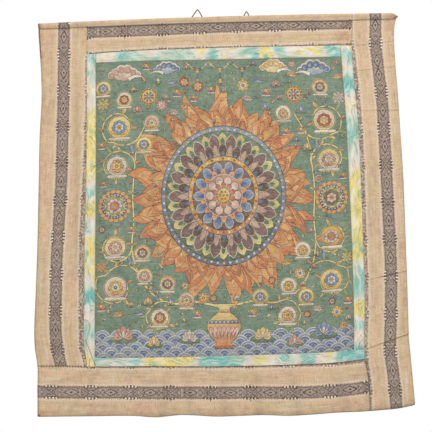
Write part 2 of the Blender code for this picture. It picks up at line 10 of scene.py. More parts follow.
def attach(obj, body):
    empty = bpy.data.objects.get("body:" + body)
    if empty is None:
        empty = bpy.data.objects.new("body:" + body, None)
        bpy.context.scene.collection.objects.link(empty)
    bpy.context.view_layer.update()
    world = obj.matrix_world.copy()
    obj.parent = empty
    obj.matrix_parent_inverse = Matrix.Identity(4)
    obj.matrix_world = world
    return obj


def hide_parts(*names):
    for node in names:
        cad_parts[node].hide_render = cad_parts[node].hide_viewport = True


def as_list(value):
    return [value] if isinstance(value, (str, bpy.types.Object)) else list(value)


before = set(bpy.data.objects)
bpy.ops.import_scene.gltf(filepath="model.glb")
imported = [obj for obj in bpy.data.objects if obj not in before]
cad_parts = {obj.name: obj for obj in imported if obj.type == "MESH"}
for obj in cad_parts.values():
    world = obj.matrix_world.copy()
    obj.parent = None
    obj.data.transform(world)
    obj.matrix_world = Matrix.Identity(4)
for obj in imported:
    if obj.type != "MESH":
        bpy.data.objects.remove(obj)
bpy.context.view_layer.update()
bpy.ops.object.select_all(action="DESELECT")
mm = 0.001

# All sizes and places of the scroll are in millimetres, and go to metres when a mesh is made.
# x runs to the viewer's right, z up, and the picture faces -y.


# curves and small sums

def smoothStep(value):
    value = min(1.0, max(0.0, value))
    return value * value * (3.0 - 2.0 * value)


def between(start, end, share):
    return start + (end - start) * share


def evenShares(length, pitch):
    count = max(1, ceil(abs(length) / pitch))
    return [i / count for i in range(count + 1)]


def rippleAt(*place):
    return noise.noise(Vector(place))


class SmoothCurve:
    # a smooth curve through measured points, read at any place

    def __init__(self, points):
        self.places, self.values = zip(*sorted(points))
        self.slopes = []
        last = len(self.places) - 1
        for i in range(last + 1):
            before, after = max(i - 1, 0), min(i + 1, last)
            rise = self.values[after] - self.values[before]
            self.slopes.append(rise / (self.places[after] - self.places[before]))

    def __call__(self, at):
        at = min(self.places[-1], max(self.places[0], at))
        i = min(bisect_right(self.places, at) - 1, len(self.places) - 2)
        span = self.places[i + 1] - self.places[i]
        t = (at - self.places[i]) / span
        return ((2 * t**3 - 3 * t**2 + 1) * self.values[i]
                + (t**3 - 2 * t**2 + t) * span * self.slopes[i]
                + (3 * t**2 - 2 * t**3) * self.values[i + 1]
                + (t**3 - t**2) * span * self.slopes[i + 1])


def curvesOf(names, rows):
    return {name: SmoothCurve([(row[0], row[i + 1]) for row in rows]) for i, name in enumerate(names)}


# the hanging cloth's lines and folds

hanging = {
    "clothY": -7.4,         # middle of the cloth's thickness
    "lap": 5.0,             # how far a piece runs under the next at a seam
    "pitch": 4.0,           # spacing of the mesh's rows and columns
    # heights at which the upright lines are read to place what meets them
    "atSleeve": -34,
    "atTopSeam": -98,
    "halfWay": -480,
    "atBottomSeam": -850,
    # height, then each upright line's place there
    "uprights": ("leftEdge", "leftSeam", "pictureLeft", "pictureRight", "rightSeam", "rightEdge"),
    "uprightRows": (
        (-20, -450.0, -331.3, -309.3, 284.0, 318.5, 430.0),
        (-48, -449.3, -332.0, -309.8, 285.0, 317.0, 420.5),
        (-90, -447.5, -333.0, -310.5, 286.0, 314.2, 416.8),
        (-150, -444.8, -334.0, -311.5, 288.0, 314.4, 417.2),
        (-210, -445.0, -335.0, -312.6, 290.0, 317.3, 419.5),
        (-300, -450.5, -336.5, -314.2, 292.5, 321.2, 421.2),
        (-430, -454.3, -340.0, -316.5, 293.8, 322.5, 423.3),
        (-560, -458.3, -345.3, -319.5, 294.6, 321.5, 422.0),
        (-690, -464.5, -348.3, -322.6, 293.0, 320.0, 420.5),
        (-760, -468.3, -350.5, -324.3, 291.3, 316.6, 419.3),
        (-805, -467.5, -350.6, -325.1, 289.6, 313.2, 418.3),
        (-850, -461.8, -344.5, -326.0, 287.3, 312.5, 420.2),
        (-900, -461.4, -343.0, -327.0, 285.0, 318.0, 422.0),
        (-985, -461.5, -342.0, -328.0, 283.0, 318.8, 424.6),
    ),
    # place across, then each level line's height there
    "levels": ("topSeam", "pictureTop", "pictureBottom", "bottomSeam"),
    "levelRows": (
        (-465, -104.0, -122.0, -833.0, -849.5),
        (-333, -100.5, -122.0, -834.0, -854.2),
        (-280, -97.0, -121.5, -834.8, -855.4),
        (-180, -93.8, -120.6, -836.6, -857.3),
        (-77, -93.3, -122.0, -837.6, -861.0),
        (41, -93.2, -123.1, -838.0, -863.2),
        (136, -94.0, -123.5, -837.6, -863.0),
        (230, -95.0, -123.8, -835.8, -861.8),
        (278, -95.8, -124.4, -833.4, -858.2),
        (322, -97.6, -125.4, -831.4, -853.0),
    ),
    "hem": ((-462, -966.3), (-353, -967.7), (-240, -969.6), (-184, -973.8), (-122, -971.2),
            (-42, -976.4), (30, -977.2), (70, -976.9), (125, -979.5), (180, -978.8),
            (240, -976.2), (325, -973.9), (381, -970.6), (410, -966.0), (428, -961.8)),
}
upright = curvesOf(hanging["uprights"], hanging["uprightRows"])
level = curvesOf(hanging["levels"], hanging["levelRows"])
hem = SmoothCurve(hanging["hem"])


def edgeAt(name, where):
    return upright[name](hanging[where])


folds = {
    # from x, z to x, z, half-width, height towards the viewer
    "soft": (
        (-368, -150, -374, -640, 11, -2.2),
        (-425, -690, -440, -850, 16, 3.0),
        (-452, -900, -350, -862, 13, 2.6),
        (-395, -955, -330, -872, 12, -2.4),
        (-187, -975, -180, -895, 26, 4.0),
        (-120, -975, -126, -900, 22, -2.4),
        (-42, -975, -46, -900, 27, 4.2),
        (40, -975, 36, -905, 24, -2.6),
        (128, -975, 118, -905, 30, 4.4),
        (238, -975, 228, -905, 26, -2.8),
        (300, -970, 304, -900, 18, 2.0),
    ),
    "softRunOut": 1.6,
    # across the right panel: height at the seam, at the edge, how deep, and how dark the painted shade
    # and soil under the crease are by the seam, in the band and by the edge
    "creases": (
        (-97, -89, 0.6, (0.36, 0.08, 0.30)),
        (-160, -152, 0.7, (0.30, 0.10, 0.14)),
        (-258, -260, 0.5, (0.16, 0.30, 0.22)),
        (-669, -649, 1.5, (0.06, 0.90, 0.34)),
        (-831, -798, 2.2, (0.30, 1.00, 0.62)),
    ),
    "creaseReach": 8.0,     # how far above its line a crease swells
    "creaseDrop": 1.3,      # and how far below it falls away
    "creaseFade": 16.0,     # distance from the seam over which it grows
    # across the picture, from being rolled up: height, half-width, swell
    "rolls": ((-190, 26, 0.9), (-290, 24, -1.1), (-400, 24, 1.0), (-502, 22, -1.6),
              (-610, 26, 1.3), (-720, 24, -1.1)),
    "rollFade": 60.0,
    "hemCurlStart": -830.0,
    "hemCurl": 7.0,
    "edgeReach": 70.0,
    "leftEdgeCurl": -4.0,
    "rightEdgeCurl": 3.0,
    "sway": 2.0,            # wide waves of the whole cloth, and their lengths
    "swayAcross": 470,
    "swayDown": 620,
    "top": -36.0,           # held flat at the sleeve, loose below over topEase
    "topEase": 70.0,
    "ripple": 0.55,         # small uneven waves of the cloth, and their size
    "rippleSize": 52.0,
    "pucker": 0.5,          # gathers at the seams, how far they reach, and their spacing
    "puckerReach": 17.0,
    "puckerSpacing": 8.5,
}


def softFold(x, z, fold):
    x0, z0, x1, z1, halfWidth, height = fold
    dx, dz = x1 - x0, z1 - z0
    length = hypot(dx, dz)
    along = ((x - x0) * dx + (z - z0) * dz) / length
    across = ((x - x0) * dz - (z - z0) * dx) / length
    past = max(0.0, -along, along - length)
    return height * exp(-(across / halfWidth)**2 - (past / (folds["softRunOut"] * halfWidth))**2)


def foldShade(x, z):
    # the right side of each fold is painted a little darker, as painted shade
    return sum(softFold(x - 0.8 * fold[4], z, (*fold[:4], 0.5 * fold[4], 0.16)) for fold in folds["soft"])


def creaseAt(x, z):
    # height of the right panel's creases, and how dark each is painted just under its line, as painted
    # shade and soil
    seamX, edgeX = upright["rightSeam"](z), upright["rightEdge"](z)
    if x < seamX - 1.0:
        return 0.0, 0.0
    share = (x - seamX) / (edgeX - seamX)
    growth = smoothStep((x - seamX) / folds["creaseFade"])
    height = soilAndShade = 0.0
    for seamZ, edgeZ, deep, (bySeam, atBand, byEdge) in folds["creases"]:
        above = z - between(seamZ, edgeZ, share)
        dark = between(bySeam, atBand, smoothStep((share - 0.3) / 0.2))
        dark = between(dark, byEdge, smoothStep((share - 0.74) / 0.12))
        if above > 0:
            profile = exp(-above / folds["creaseReach"])
        else:
            profile = smoothStep(1.0 + above / folds["creaseDrop"]) - 0.35 * exp(-((above + 4.0) / 3.0)**2)
        height += deep * growth * profile
        soilAndShade = max(soilAndShade, dark * growth * exp(-((above + 0.9) / 1.0)**2))
    return height, soilAndShade


def pucker(x, z):
    # small gathers that run away from each seam
    total = 0.0
    spacing, reach = folds["puckerSpacing"], folds["puckerReach"]
    if z < level["topSeam"](x) + 60 and z > level["bottomSeam"](x) - 60:
        for name, seed in (("leftSeam", 3.0), ("rightSeam", 11.0)):
            away = abs(x - upright[name](z))
            if away < 3 * reach:
                wave = rippleAt(x / 70, seed, z / spacing)
                total += wave * exp(-away / reach)
    for name, seed in (("topSeam", 23.0), ("bottomSeam", 31.0)):
        away = abs(z - level[name](x))
        if away < 3 * reach:
            total += rippleAt(x / spacing, seed, z / 70) * exp(-away / reach)
    return folds["pucker"] * total


def relief(x, z):
    # how far the cloth stands towards the viewer from its hanging plane
    height = folds["sway"] * sin(2 * pi * x / folds["swayAcross"] + 0.6)
    height *= cos(2 * pi * z / folds["swayDown"] - 0.4)
    curlStart = folds["hemCurlStart"]
    height += folds["hemCurl"] * smoothStep((curlStart - z) / (curlStart - hem(x)))
    fromLeft = (x - upright["leftEdge"](z)) / folds["edgeReach"]
    fromRight = (upright["rightEdge"](z) - x) / folds["edgeReach"]
    height += folds["leftEdgeCurl"] * max(0.0, 1.0 - fromLeft)**2
    height += folds["rightEdgeCurl"] * max(0.0, 1.0 - fromRight)**2
    height += sum(softFold(x, z, fold) for fold in folds["soft"])
    inside = smoothStep((x - upright["pictureLeft"](z)) / folds["rollFade"])
    inside *= smoothStep((upright["pictureRight"](z) - x) / folds["rollFade"])
    if inside > 0:
        for rollZ, halfWidth, swell in folds["rolls"]:
            height += swell * inside * exp(-((z - rollZ) / halfWidth)**2)
    height += creaseAt(x, z)[0]
    size = folds["rippleSize"]
    height += folds["ripple"] * rippleAt(x / size, 5.5, z / size)
    height += 0.5 * folds["ripple"] * rippleAt(2.3 * x / size, 9.5, 2.3 * z / size)
    height += pucker(x, z)
    return height * smoothStep((folds["top"] - z) / folds["topEase"])


# the rod's line and the sleeve round it

rodShape = {
    "diameter": 8.0,
    "leftEnd": -446.5,
    "rightEnd": 408.0,
    "middleZ": -20.5,
    "droop": 4.5,           # fall of the bowed rod at halfSpan from the middle
    "halfSpan": 440.0,
    "endBevel": 0.9,
    "cuts": 22,
}
sleeve = {
    "thickness": 1.2,       # the mount cloth's
    "clearance": 0.25,
    "rightEnd": 429.5,
    "pinchStart": 416.0,    # past the rod the empty sleeve narrows and falls
    "pinchScale": 0.42,
    "pinchDrop": 4.0,
    # place along, then depth of the stitched seam below the rod's axis, in radii
    "seam": SmoothCurve(((-450, 1.8), (-400, 1.88), (-300, 1.98), (-80, 2.1), (60, 2.25), (180, 2.45),
                         (270, 2.6), (305, 2.55), (340, 2.2), (430, 2.15))),
    "steps": 22,
    "flap": 11.0,           # turned edge that lies behind the cloth
    "wrinkle": 0.45,
    "drawnFrom": 400,       # behind, the turned edge follows the right panel's side from here
    "drawnOver": 30,
    # painted shade in the sleeve's open ends
    "shadedEnds": ((-449, 4.5, 1.0), (430, 9.0, 0.8)),  # place, reach, how dark
    "bandHidden": 15.5,     # the band's edge, sewn under so that the roll shows none of it
}


def wrapStart(x):
    # where the cloth leaves the seam and meets the rod
    return acos(1.0 / sleeve["seam"](x))


def rodZ(x):
    return rodShape["middleZ"] - rodShape["droop"] * (x / rodShape["halfSpan"])**2


def sleevePinch(x):
    return smoothStep((x - sleeve["pinchStart"]) / (sleeve["rightEnd"] - sleeve["pinchStart"]))


def sleeveRadius(x):
    # to the middle of the cloth
    openRadius = rodShape["diameter"] / 2 + sleeve["clearance"] + sleeve["thickness"] / 2
    return openRadius * (1.0 - (1.0 - sleeve["pinchScale"]) * sleevePinch(x))


def sleeveAxisZ(x):
    return rodZ(x) - sleeve["pinchDrop"] * sleevePinch(x)


def sleeveFoot(x):
    return sleeveAxisZ(x) - sleeveRadius(x) * sleeve["seam"](x)


def sleevePath(x):
    # down the turned edge behind, round the rod and down to the foot in front, last point first:
    # (y, z, outward y, outward z, length of cloth above the foot)
    axisZ, radius, clothY, start = sleeveAxisZ(x), sleeveRadius(x), hanging["clothY"], wrapStart(x)
    points = []
    footZ = sleeveFoot(x)
    leaveOut, leaveZ = radius * sin(start), axisZ - radius * cos(start)
    straight = hypot(leaveOut, leaveZ - footZ)
    turn = 2 * pi - 2 * start
    for share in (0.08, 0.35, 0.7):
        points.append((clothY - leaveOut * share, between(footZ, leaveZ, share),
                       -cos(start) * share - (1 - share), sin(start) * -share * 0.3, straight * share))
    for step in range(sleeve["steps"] + 1):
        angle = start + turn * step / sleeve["steps"]
        lift = sleeve["wrinkle"] * rippleAt(x / 6.5, angle * 1.1, 3.0)
        lift += 0.6 * sleeve["wrinkle"] * rippleAt(x / 2.6, angle * 0.6, 8.0)
        lift = lift * 0.5 * (1.0 + cos(angle)) ** 0.5 if angle < pi else lift * 0.5
        y = clothY - (radius + lift) * sin(angle)
        z = axisZ - (radius + lift) * cos(angle)
        points.append((y, z, -sin(angle), -cos(angle), straight + radius * (angle - start)))
    behind = clothY + sleeve["thickness"] + 0.15
    whole = straight + radius * turn
    for share in (0.3, 0.7):
        points.append((between(clothY + leaveOut, behind, share), between(leaveZ, footZ, share), 1.0, 0.0,
                       whole + straight * share))
    for share in (0.0, 0.33, 0.66, 1.0):
        drop = sleeve["flap"] * share
        points.append((behind, footZ - drop, 1.0, 0.0, whole + straight + drop))
    return points


# meshes of cloth

def clothPoint(x, z, offset):
    return Vector((x, hanging["clothY"] - relief(x, z) + offset, z))


def meshObject(mesh, material):
    mesh.materials.append(material)
    mesh.shade_smooth()
    piece = bpy.data.objects.new(mesh.name, mesh)
    bpy.context.scene.collection.objects.link(piece)
    return piece


def shapeObject(name, shape, material):
    mesh = bpy.data.meshes.new(name)
    shape.to_mesh(mesh)
    shape.free()
    return meshObject(mesh, material)


def sheetObject(name, rows, material):
    # a closed sheet with a rounded edge; rows run top first, left to right, and each place in them is
    # (front point, back point, place in the weave, soil and painted shade) and for silk also its dye
    rowCount, columnCount = len(rows), len(rows[0])
    places = [place for row in rows for place in row]
    size = len(places)
    faces = []

    def at(r, c):
        return r * columnCount + c

    for r in range(rowCount - 1):
        for c in range(columnCount - 1):
            a, b, d, e = at(r, c), at(r, c + 1), at(r + 1, c + 1), at(r + 1, c)
            faces.append((a, e, d, b))
            faces.append((size + a, size + b, size + d, size + e))
    border = [(0, c) for c in range(columnCount - 1)]
    border += [(r, columnCount - 1) for r in range(rowCount - 1)]
    border += [(rowCount - 1, c) for c in range(columnCount - 1, 0, -1)]
    border += [(r, 0) for r in range(rowCount - 1, 0, -1)]
    verts = [place[0] for place in places] + [place[1] for place in places]
    for i, (r, c) in enumerate(border):
        a, b = rows[r][c][:2]
        inner = rows[min(max(r, 1), rowCount - 2)][min(max(c, 1), columnCount - 2)]
        outward = ((a + b) - (inner[0] + inner[1])).normalized()
        verts.append((a + b) / 2 + outward * (a - b).length * 0.42)
        j = (i + 1) % len(border)
        a, b = at(r, c), at(*border[j])
        faces.append((a, b, 2 * size + j, 2 * size + i))
        faces.append((2 * size + i, 2 * size + j, size + b, size + a))
    mesh = bpy.data.meshes.new(name)
    mesh.from_pydata([point * mm for point in verts], [], faces)
    spread = places + places + [rows[r][c] for r, c in border]
    layer = mesh.uv_layers.new(name="weave")
    for loop in mesh.loops:
        layer.data[loop.index].uv = spread[loop.vertex_index][2]
    for index, title in list(enumerate(("soilAndShade", "dye"), 3))[:len(places[0]) - 3]:
        attribute = mesh.attributes.new(title, "FLOAT", "POINT")
        attribute.data.foreach_set("value", [place[index] for place in spread])
    return meshObject(mesh, material)


def addTo(piece, slotName, *nodes):
    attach(piece, "root")
    if nodes:
        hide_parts(*nodes)
    return piece


def addCloth(piece, slotName, node, width, length, area, hangsFrom):
    # width, length and area are those of the cut cloth before it was sewn and hung; they are not used
    addTo(piece, slotName, node)
    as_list(hangsFrom)
    return piece


# shader helpers

def linear(colour):
    # a colour given in 0..255 as seen on screen
    def channel(value):
        value /= 255.0
        return value / 12.92 if value <= 0.04045 else ((value + 0.055) / 1.055)**2.4
    return tuple(channel(value) for value in colour) + (1.0,)


class Field:
    # a value in a material, so that its sums can be written as sums

    def __init__(self, tree, socket):
        self.tree, self.socket = tree, socket

    def sum(self, operation, *others):
        math = self.tree.nodes.new("ShaderNodeMath")
        math.operation = operation
        for i, value in enumerate((self, *others)):
            if isinstance(value, Field):
                self.tree.links.new(value.socket, math.inputs[i])
            else:
                math.inputs[i].default_value = value
        return Field(self.tree, math.outputs[0])

    def within(self, low, high):
        return self.above(low) * self.below(high)

    def repeat(self, length):
        # place within a repeat, from minus half of it to plus half
        return self - self.sum("DIVIDE", length).sum("ROUND") * length

    def stepped(self, length):
        return (self.sum("DIVIDE", length).sum("FLOOR") + 0.5) * length

    def ramp(self, low, high):
        # 0 at low to 1 at high
        node = self.tree.nodes.new("ShaderNodeMapRange")
        node.inputs["From Min"].default_value = low
        node.inputs["From Max"].default_value = high
        self.tree.links.new(self.socket, node.inputs["Value"])
        return Field(self.tree, node.outputs["Result"])

    def wave(self, length):
        return (self * (2 * pi / length)).sum("SINE")


for name, operation in {"__add__": "ADD", "__sub__": "SUBTRACT", "__mul__": "MULTIPLY", "size": "ABSOLUTE",
                        "below": "LESS_THAN", "above": "GREATER_THAN", "lower": "MINIMUM",
                        "higher": "MAXIMUM"}.items():
    setattr(Field, name, lambda self, *others, operation=operation: self.sum(operation, *others))


class Finish:
    # a material and the few nodes that all of them use

    def __init__(self, name, roughness, sheen=0.0, specular=0.3):
        self.material = bpy.data.materials.new(name)
        self.material.use_nodes = True
        self.tree = self.material.node_tree
        self.shader = self.tree.nodes["Principled BSDF"]
        settings = {"Roughness": roughness, "Sheen Weight": sheen, "Specular IOR Level": specular}
        for key, value in settings.items():
            self.shader.inputs[key].default_value = value
        self.place = self.new("TexCoord")

    def new(self, kind, vector=None, **settings):
        node = self.tree.nodes.new("ShaderNode" + kind)
        for key, value in settings.items():
            if key in node.inputs:
                node.inputs[key].default_value = value
            else:
                setattr(node, key, value)
        if vector:
            self.tree.links.new(vector, node.inputs["Vector"])
        return node

    def put(self, value, socket):
        # a field, a socket, a number, or a colour as seen on screen
        if isinstance(value, Field):
            value = value.socket
        if isinstance(value, bpy.types.NodeSocket):
            self.tree.links.new(value, socket)
        else:
            socket.default_value = linear(value) if isinstance(value, tuple) else value

    def uv(self, name):
        return self.split(self.new("UVMap", uv_map=name).outputs["UV"])

    def objectPlace(self):
        return self.split(self.place.outputs["Object"])

    def split(self, socket):
        return [Field(self.tree, output) for output in self.new("SeparateXYZ", socket).outputs]

    def joined(self, *fields):
        node = self.new("CombineXYZ")
        for value, socket in zip(fields, node.inputs):
            self.put(value, socket)
        return node.outputs[0]

    def attribute(self, name):
        return Field(self.tree, self.new("Attribute", attribute_name=name).outputs["Fac"])

    def noise(self, place, detail=2.0, roughness=0.5, distortion=0.0, scale=1.0):
        vector = self.joined(*place) if isinstance(place, tuple) else place
        node = self.new("TexNoise", vector, Scale=scale, Detail=detail, Roughness=roughness,
                        Distortion=distortion)
        return Field(self.tree, node.outputs["Fac"])

    def speck(self, *place):
        return Field(self.tree, self.new("TexWhiteNoise", self.joined(*place)).outputs["Value"])

    def mix(self, amount, first, second):
        node = self.new("Mix", data_type="RGBA")
        sockets = {socket.identifier: socket for socket in (*node.inputs, *node.outputs)}
        for value, place in ((amount, "Factor_Float"), (first, "A_Color"), (second, "B_Color")):
            self.put(value, sockets[place])
        return sockets["Result_Color"]

    def coats(self, colour, *coats):
        # colours laid one over another, each by its own amount
        for amount, coat in coats:
            colour = self.mix(amount, colour, coat)
        return colour

    def ramp(self, field, stops):
        node = self.new("ValToRGB")
        elements = node.color_ramp.elements
        while len(elements) < len(stops):
            elements.new(0.5)
        for element, (place, colour) in zip(elements, stops):
            element.position = place
            element.color = linear(colour)
        self.put(field, node.inputs["Fac"])
        return node.outputs["Color"]

    def finish(self, colour, height, depth):
        # colour and relief reach the shader; depth is the relief's real depth in millimetres
        self.put(colour, self.shader.inputs["Base Color"])
        bump = self.new("Bump", Strength=1.0, Distance=depth * mm)
        self.put(height, bump.inputs["Height"])
        self.put(bump.outputs["Normal"], self.shader.inputs["Normal"])
        return self.material


# the mount's handwoven cloth

weave = {
    "repeat": 89.0,         # length of the band's pattern
    "bandPitch": 71.0,      # from one dark band's middle to the next
    "bandHalf": 14.2,
    "cell": 1.9,            # one step of the woven pattern
    "thread": 1.1,
    "tooth": 7.6,           # pitch of the teeth along the band's edges
    "yellowish": (214, 189, 146),
    "peach": (228, 189, 153),
    "greyish": (192, 166, 140),
    "rosy": (232, 210, 190),
    "rust": (212, 160, 116),
    "stain": (176, 122, 88),
    "slubDark": (168, 138, 108),
    "slubPale": (250, 234, 208),
    "bandGround": (174, 156, 144),
    "bandDusky": (142, 123, 113),
    "bandOlive": (108, 90, 66),
    "bandDark": (88, 71, 64),
    "bandPale": (212, 197, 180),
    "toothPale": (244, 232, 212),
    # colour of soil and of painted shade
    "soilAndShade": (84, 59, 44),
}


def wovenFigures(finish, along, bandAcross, second):
    # the band's figures, in steps of the weave
    wobble = finish.noise((along * 0.11, bandAcross * 0.07, 0.0), 3.0) - 0.5
    u = (along + wobble * 3.0).stepped(weave["cell"])
    v = (bandAcross + wobble * 2.0).stepped(weave["cell"]).size()
    speck = finish.speck(u, v, second)
    fromTooth = u.repeat(weave["repeat"]).size()
    fromEye = (fromTooth - weave["repeat"] / 2).size()
    nearEye = (v + fromEye * 0.5).below(11.8)
    nearTooth = fromTooth.below(16.5)

    # an eye in nested lozenges, and a lattice of crossing lines between the figures
    lozenge = v + fromEye * 0.5
    eyeDark = lozenge.below(2.7).higher(lozenge.within(6.7, 8.9))
    eyePale = (lozenge.within(2.7, 6.7) * 0.52).higher(lozenge.within(9.6, 11.8) * 0.4)
    lattice = ((u + v).repeat(11.4).size()).lower((u - v).repeat(11.4).size())
    net = ((u + v).repeat(5.7).size()).lower((u - v).repeat(5.7).size())
    latticeDark = (lattice.below(1.5) * 0.6).higher(speck.below(0.2) * 0.7)
    latticePale = (lattice.within(3.0, 4.5) * 0.55).higher(net.above(1.0) * 0.5)
    # a lozenge between crossing lines, and teeth that stand out over the edges
    cross = (v - fromTooth * 0.72).size()
    toothDark = (cross.below(1.6) * 0.7).higher((v + fromTooth * 0.8).within(5.4, 7.2) * 0.8)
    toothPale = ((v + fromTooth * 0.8).within(2.4, 5.0) * 0.8).higher(cross.within(2.6, 4.4) * 0.5)
    place = fromTooth.repeat(weave["tooth"]).size()
    shrink = fromTooth * 0.16
    teethDark = v.above(9.2) * (v + place * 1.3 + shrink).below(18.6) * place.below(2.7)
    teethPale = v.within(11.0, 15.2) * (v + shrink).below(16.8) * place.above(2.4)
    # broken lines along both edges
    edgeDark = v.within(10.6, 14.4) * (u + v).repeat(5.7).above(-0.9)
    body = v.below(10.4)
    plain = nearEye * -1.0 + 1.0
    dark = (body * (nearEye * eyeDark).higher(plain * latticeDark)).higher(edgeDark * 0.8)
    pale = body * (nearEye * eyePale).higher(plain * latticePale)
    away = nearTooth * -1.0 + 1.0
    dark = (dark * away).higher(nearTooth * (body * toothDark).higher(teethDark).higher(edgeDark * 0.5))
    pale = (pale * away).higher(nearTooth * body * toothPale)
    ragged = finish.noise((along * 0.5, bandAcross * 0.5, 6.0), 2.0) - 0.5
    teeth = nearTooth * teethDark.higher(teethPale)
    bandShown = (v + ragged * 3.0).below(weave["bandHalf"]).higher(teeth * speck.above(0.12))
    return speck, nearTooth, teethPale, dark, pale, bandShown


def tanGround(finish, along, across, bandAcross):
    # stripes of the warp, patches and slubs
    x, _, z = finish.objectPlace()
    grain = finish.noise((along * 0.75, across * 0.75, 2.0), 2.0, 0.7)
    patches = finish.noise((x * 13.0, 0.0, z * 13.0), 4.0, 0.68)
    blotches = finish.noise((x * 62.0, 3.0, z * 62.0), 4.0, 0.68)
    stripes = finish.noise((along * 0.006, across * 0.085, 3.0), 3.0, 0.6)
    stripesToo = finish.noise((along * 0.009, across * 0.12, 13.0), 3.0, 0.6)
    warp = finish.noise((across * 0.4, along * 0.03, 7.0), 3.0, 0.65)
    weft = finish.noise((along * 0.4, across * 0.05, 1.0), 3.0, 0.65)
    warmth = (stripes * 0.4 + patches * 0.3 + blotches * 0.3).ramp(0.44, 0.56)
    dull = (stripesToo * 0.3 + patches * 0.3 + blotches * 0.4).ramp(0.49, 0.6)
    besideBand = bandAcross.size().ramp(27.0, 16.0)
    rosy = (stripesToo * 0.35 + patches * 0.3 + blotches * 0.35).ramp(0.48, 0.38).higher(besideBand * 0.55)
    rusty = (patches * 0.6 + blotches * 0.4).ramp(0.5, 0.62) * across.ramp(-22.0, -50.0)
    # a rust stain at the right end of the strip over the picture
    stain = (x - 0.294).size().ramp(0.026, 0.012) * (z + 0.078).size().ramp(0.022, 0.01)
    stain = stain * (blotches * 0.5 + grain * 0.5).ramp(0.4, 0.56)
    slubs = bandAcross.size().within(15.0, 19.5) * along.repeat(3.4).size().below(0.95) * grain.above(0.46)
    colour = finish.coats(
        weave["yellowish"],
        (warmth, weave["peach"]),
        (dull, weave["greyish"]),
        (rosy * 0.8, weave["rosy"]),
        (rusty * 0.5, weave["rust"]),
        (stain * 0.8, weave["stain"]),
        (slubs * 0.6, weave["slubPale"]),
        ((weft * 0.45 + grain * 0.55).ramp(0.5, 0.34) * 0.8, weave["slubDark"]),
        ((warp * 0.45 + grain * 0.55).ramp(0.52, 0.66) * 0.8, weave["slubPale"]))
    return colour, grain, warp, weft


def handwovenCloth():
    # the "weave" map holds place along the band, in repeats from a toothed figure, and place
    # across it in hundreds of millimetres, growing towards the picture
    finish = Finish("handwoven cloth", 0.92, sheen=0.12, specular=0.2)
    along, across, _ = finish.uv("weave")
    along, across = along * weave["repeat"], across * 100.0
    second = across.above(weave["bandPitch"] / 2)
    bandAcross = across - second * weave["bandPitch"]
    figures = wovenFigures(finish, along, bandAcross, second)
    speck, nearTooth, teethPale, dark, pale, bandShown = figures
    tan, grain, warp, weft = tanGround(finish, along, across, bandAcross)
    rub = finish.noise((along * 0.16, bandAcross * 0.16, 4.0), 3.0, 0.65)
    mottle = finish.noise((along * 0.44, bandAcross * 0.44, 11.0), 1.0)
    # the band by the seams shows its bolder thread ends, and has faded
    ends = finish.speck(along.stepped(3.6), bandAcross.stepped(4.0), 5.0)
    band = finish.coats(
        weave["bandGround"],
        ((speck * 0.3 + grain * 0.3 + mottle * 0.4).ramp(0.4, 0.6), weave["bandDusky"]),
        (mottle.ramp(0.5, 0.68) * 0.8, weave["bandOlive"]),
        (pale * (rub * 0.5 + speck * 0.5).ramp(0.2, 0.6), weave["bandPale"]),
        (dark * (rub * 0.5 + speck * 0.5).ramp(0.8, 0.44), weave["bandDark"]),
        (nearTooth * teethPale * rub.ramp(0.3, 0.55), weave["toothPale"]),
        (second * ends.above(0.74) * 0.6, weave["bandPale"]),
        (second * ends.below(0.3) * 0.7, weave["bandDark"]),
        (second * (rub * 0.5 + grain * 0.5).ramp(0.4, 0.6) * 0.34, weave["rosy"]))
    # soil and painted shade from the mesh laid over the cloth
    colour = finish.coats(tan, (bandShown, band), (finish.attribute("soilAndShade") * 0.85, weave["soilAndShade"]))

    threadsUp = (along.wave(weave["thread"]) * across.wave(weave["thread"])) * 0.2
    height = threadsUp + grain * 0.9 + weft * 0.6 + warp * 0.5 + dark * bandShown * 0.4
    return finish.finish(colour, height, 0.4)


# how far along and across the band a place is: teeth is the place of a toothed figure
bands = {
    "left": {
        "middle": SmoothCurve(((-23, -387.0), (-162, -390.4), (-309, -395.4), (-407, -399.2),
                               (-491, -404.6), (-599, -412.5), (-670, -415.0), (-753, -417.6),
                               (-800, -415.2), (-826, -411.3), (-850, -406.2))),
        "teeth": -99.5, "repeat": 88.87,
        # where the second band's outer edge shows, before the seam
        "shown": SmoothCurve(((-92, -9.0), (-100, -6.0), (-106, 2.2), (-220, 2.6), (-310, 5.5), (-409, 8.5),
                              (-508, 11.0), (-680, 12.5), (-804, 10.5), (-850, 7.5))),
    },
    "right": {
        "middle": SmoothCurve(((-35, 374.5), (-97, 372.5), (-172, 377.0), (-234, 381.6),
                               (-574, 385.0), (-670, 383.7), (-765, 378.5), (-835, 373.3),
                               (-882, 377.2), (-929, 379.7), (-964, 380.7))),
        "teeth": -93.0, "repeat": 89.0,
        "joinTeeth": -216.0,    # below the second crease the pattern starts afresh
        "shown": SmoothCurve(((-35, 0.4), (-80, 1.2), (-96, 4.5), (-122, 8.0), (-200, 10.0), (-400, 9.0),
                              (-600, 8.0), (-840, 8.0), (-900, 6.5), (-965, 4.6))),
    },
    "top": {
        "middle": SmoothCurve(((-331, -46.0), (-299, -45.0), (-202, -44.6), (-11, -41.4),
                               (141, -41.0), (317, -41.1))),
        "shown": SmoothCurve(((-331, 3.6), (-250, 2.4), (-90, 3.2), (0, 2.6), (200, 3.2), (255, 4.4),
                              (317, 5.2))),
        "teeth": 35.9, "repeat": 91.8,
    },
    "bottom": {
        "middle": SmoothCurve(((-456, -909.0), (-362, -913.0), (-243, -916.3), (-78, -921.6),
                               (158, -927.7), (228, -926.8), (276, -923.5), (314, -919.4))),
        "shown": SmoothCurve(((-456, -8.0), (-345, 2.0), (-100, 2.6), (100, 4.0), (230, 6.0), (314, 8.5))),
        "teeth": 227.0, "repeat": 93.7,
    },
}


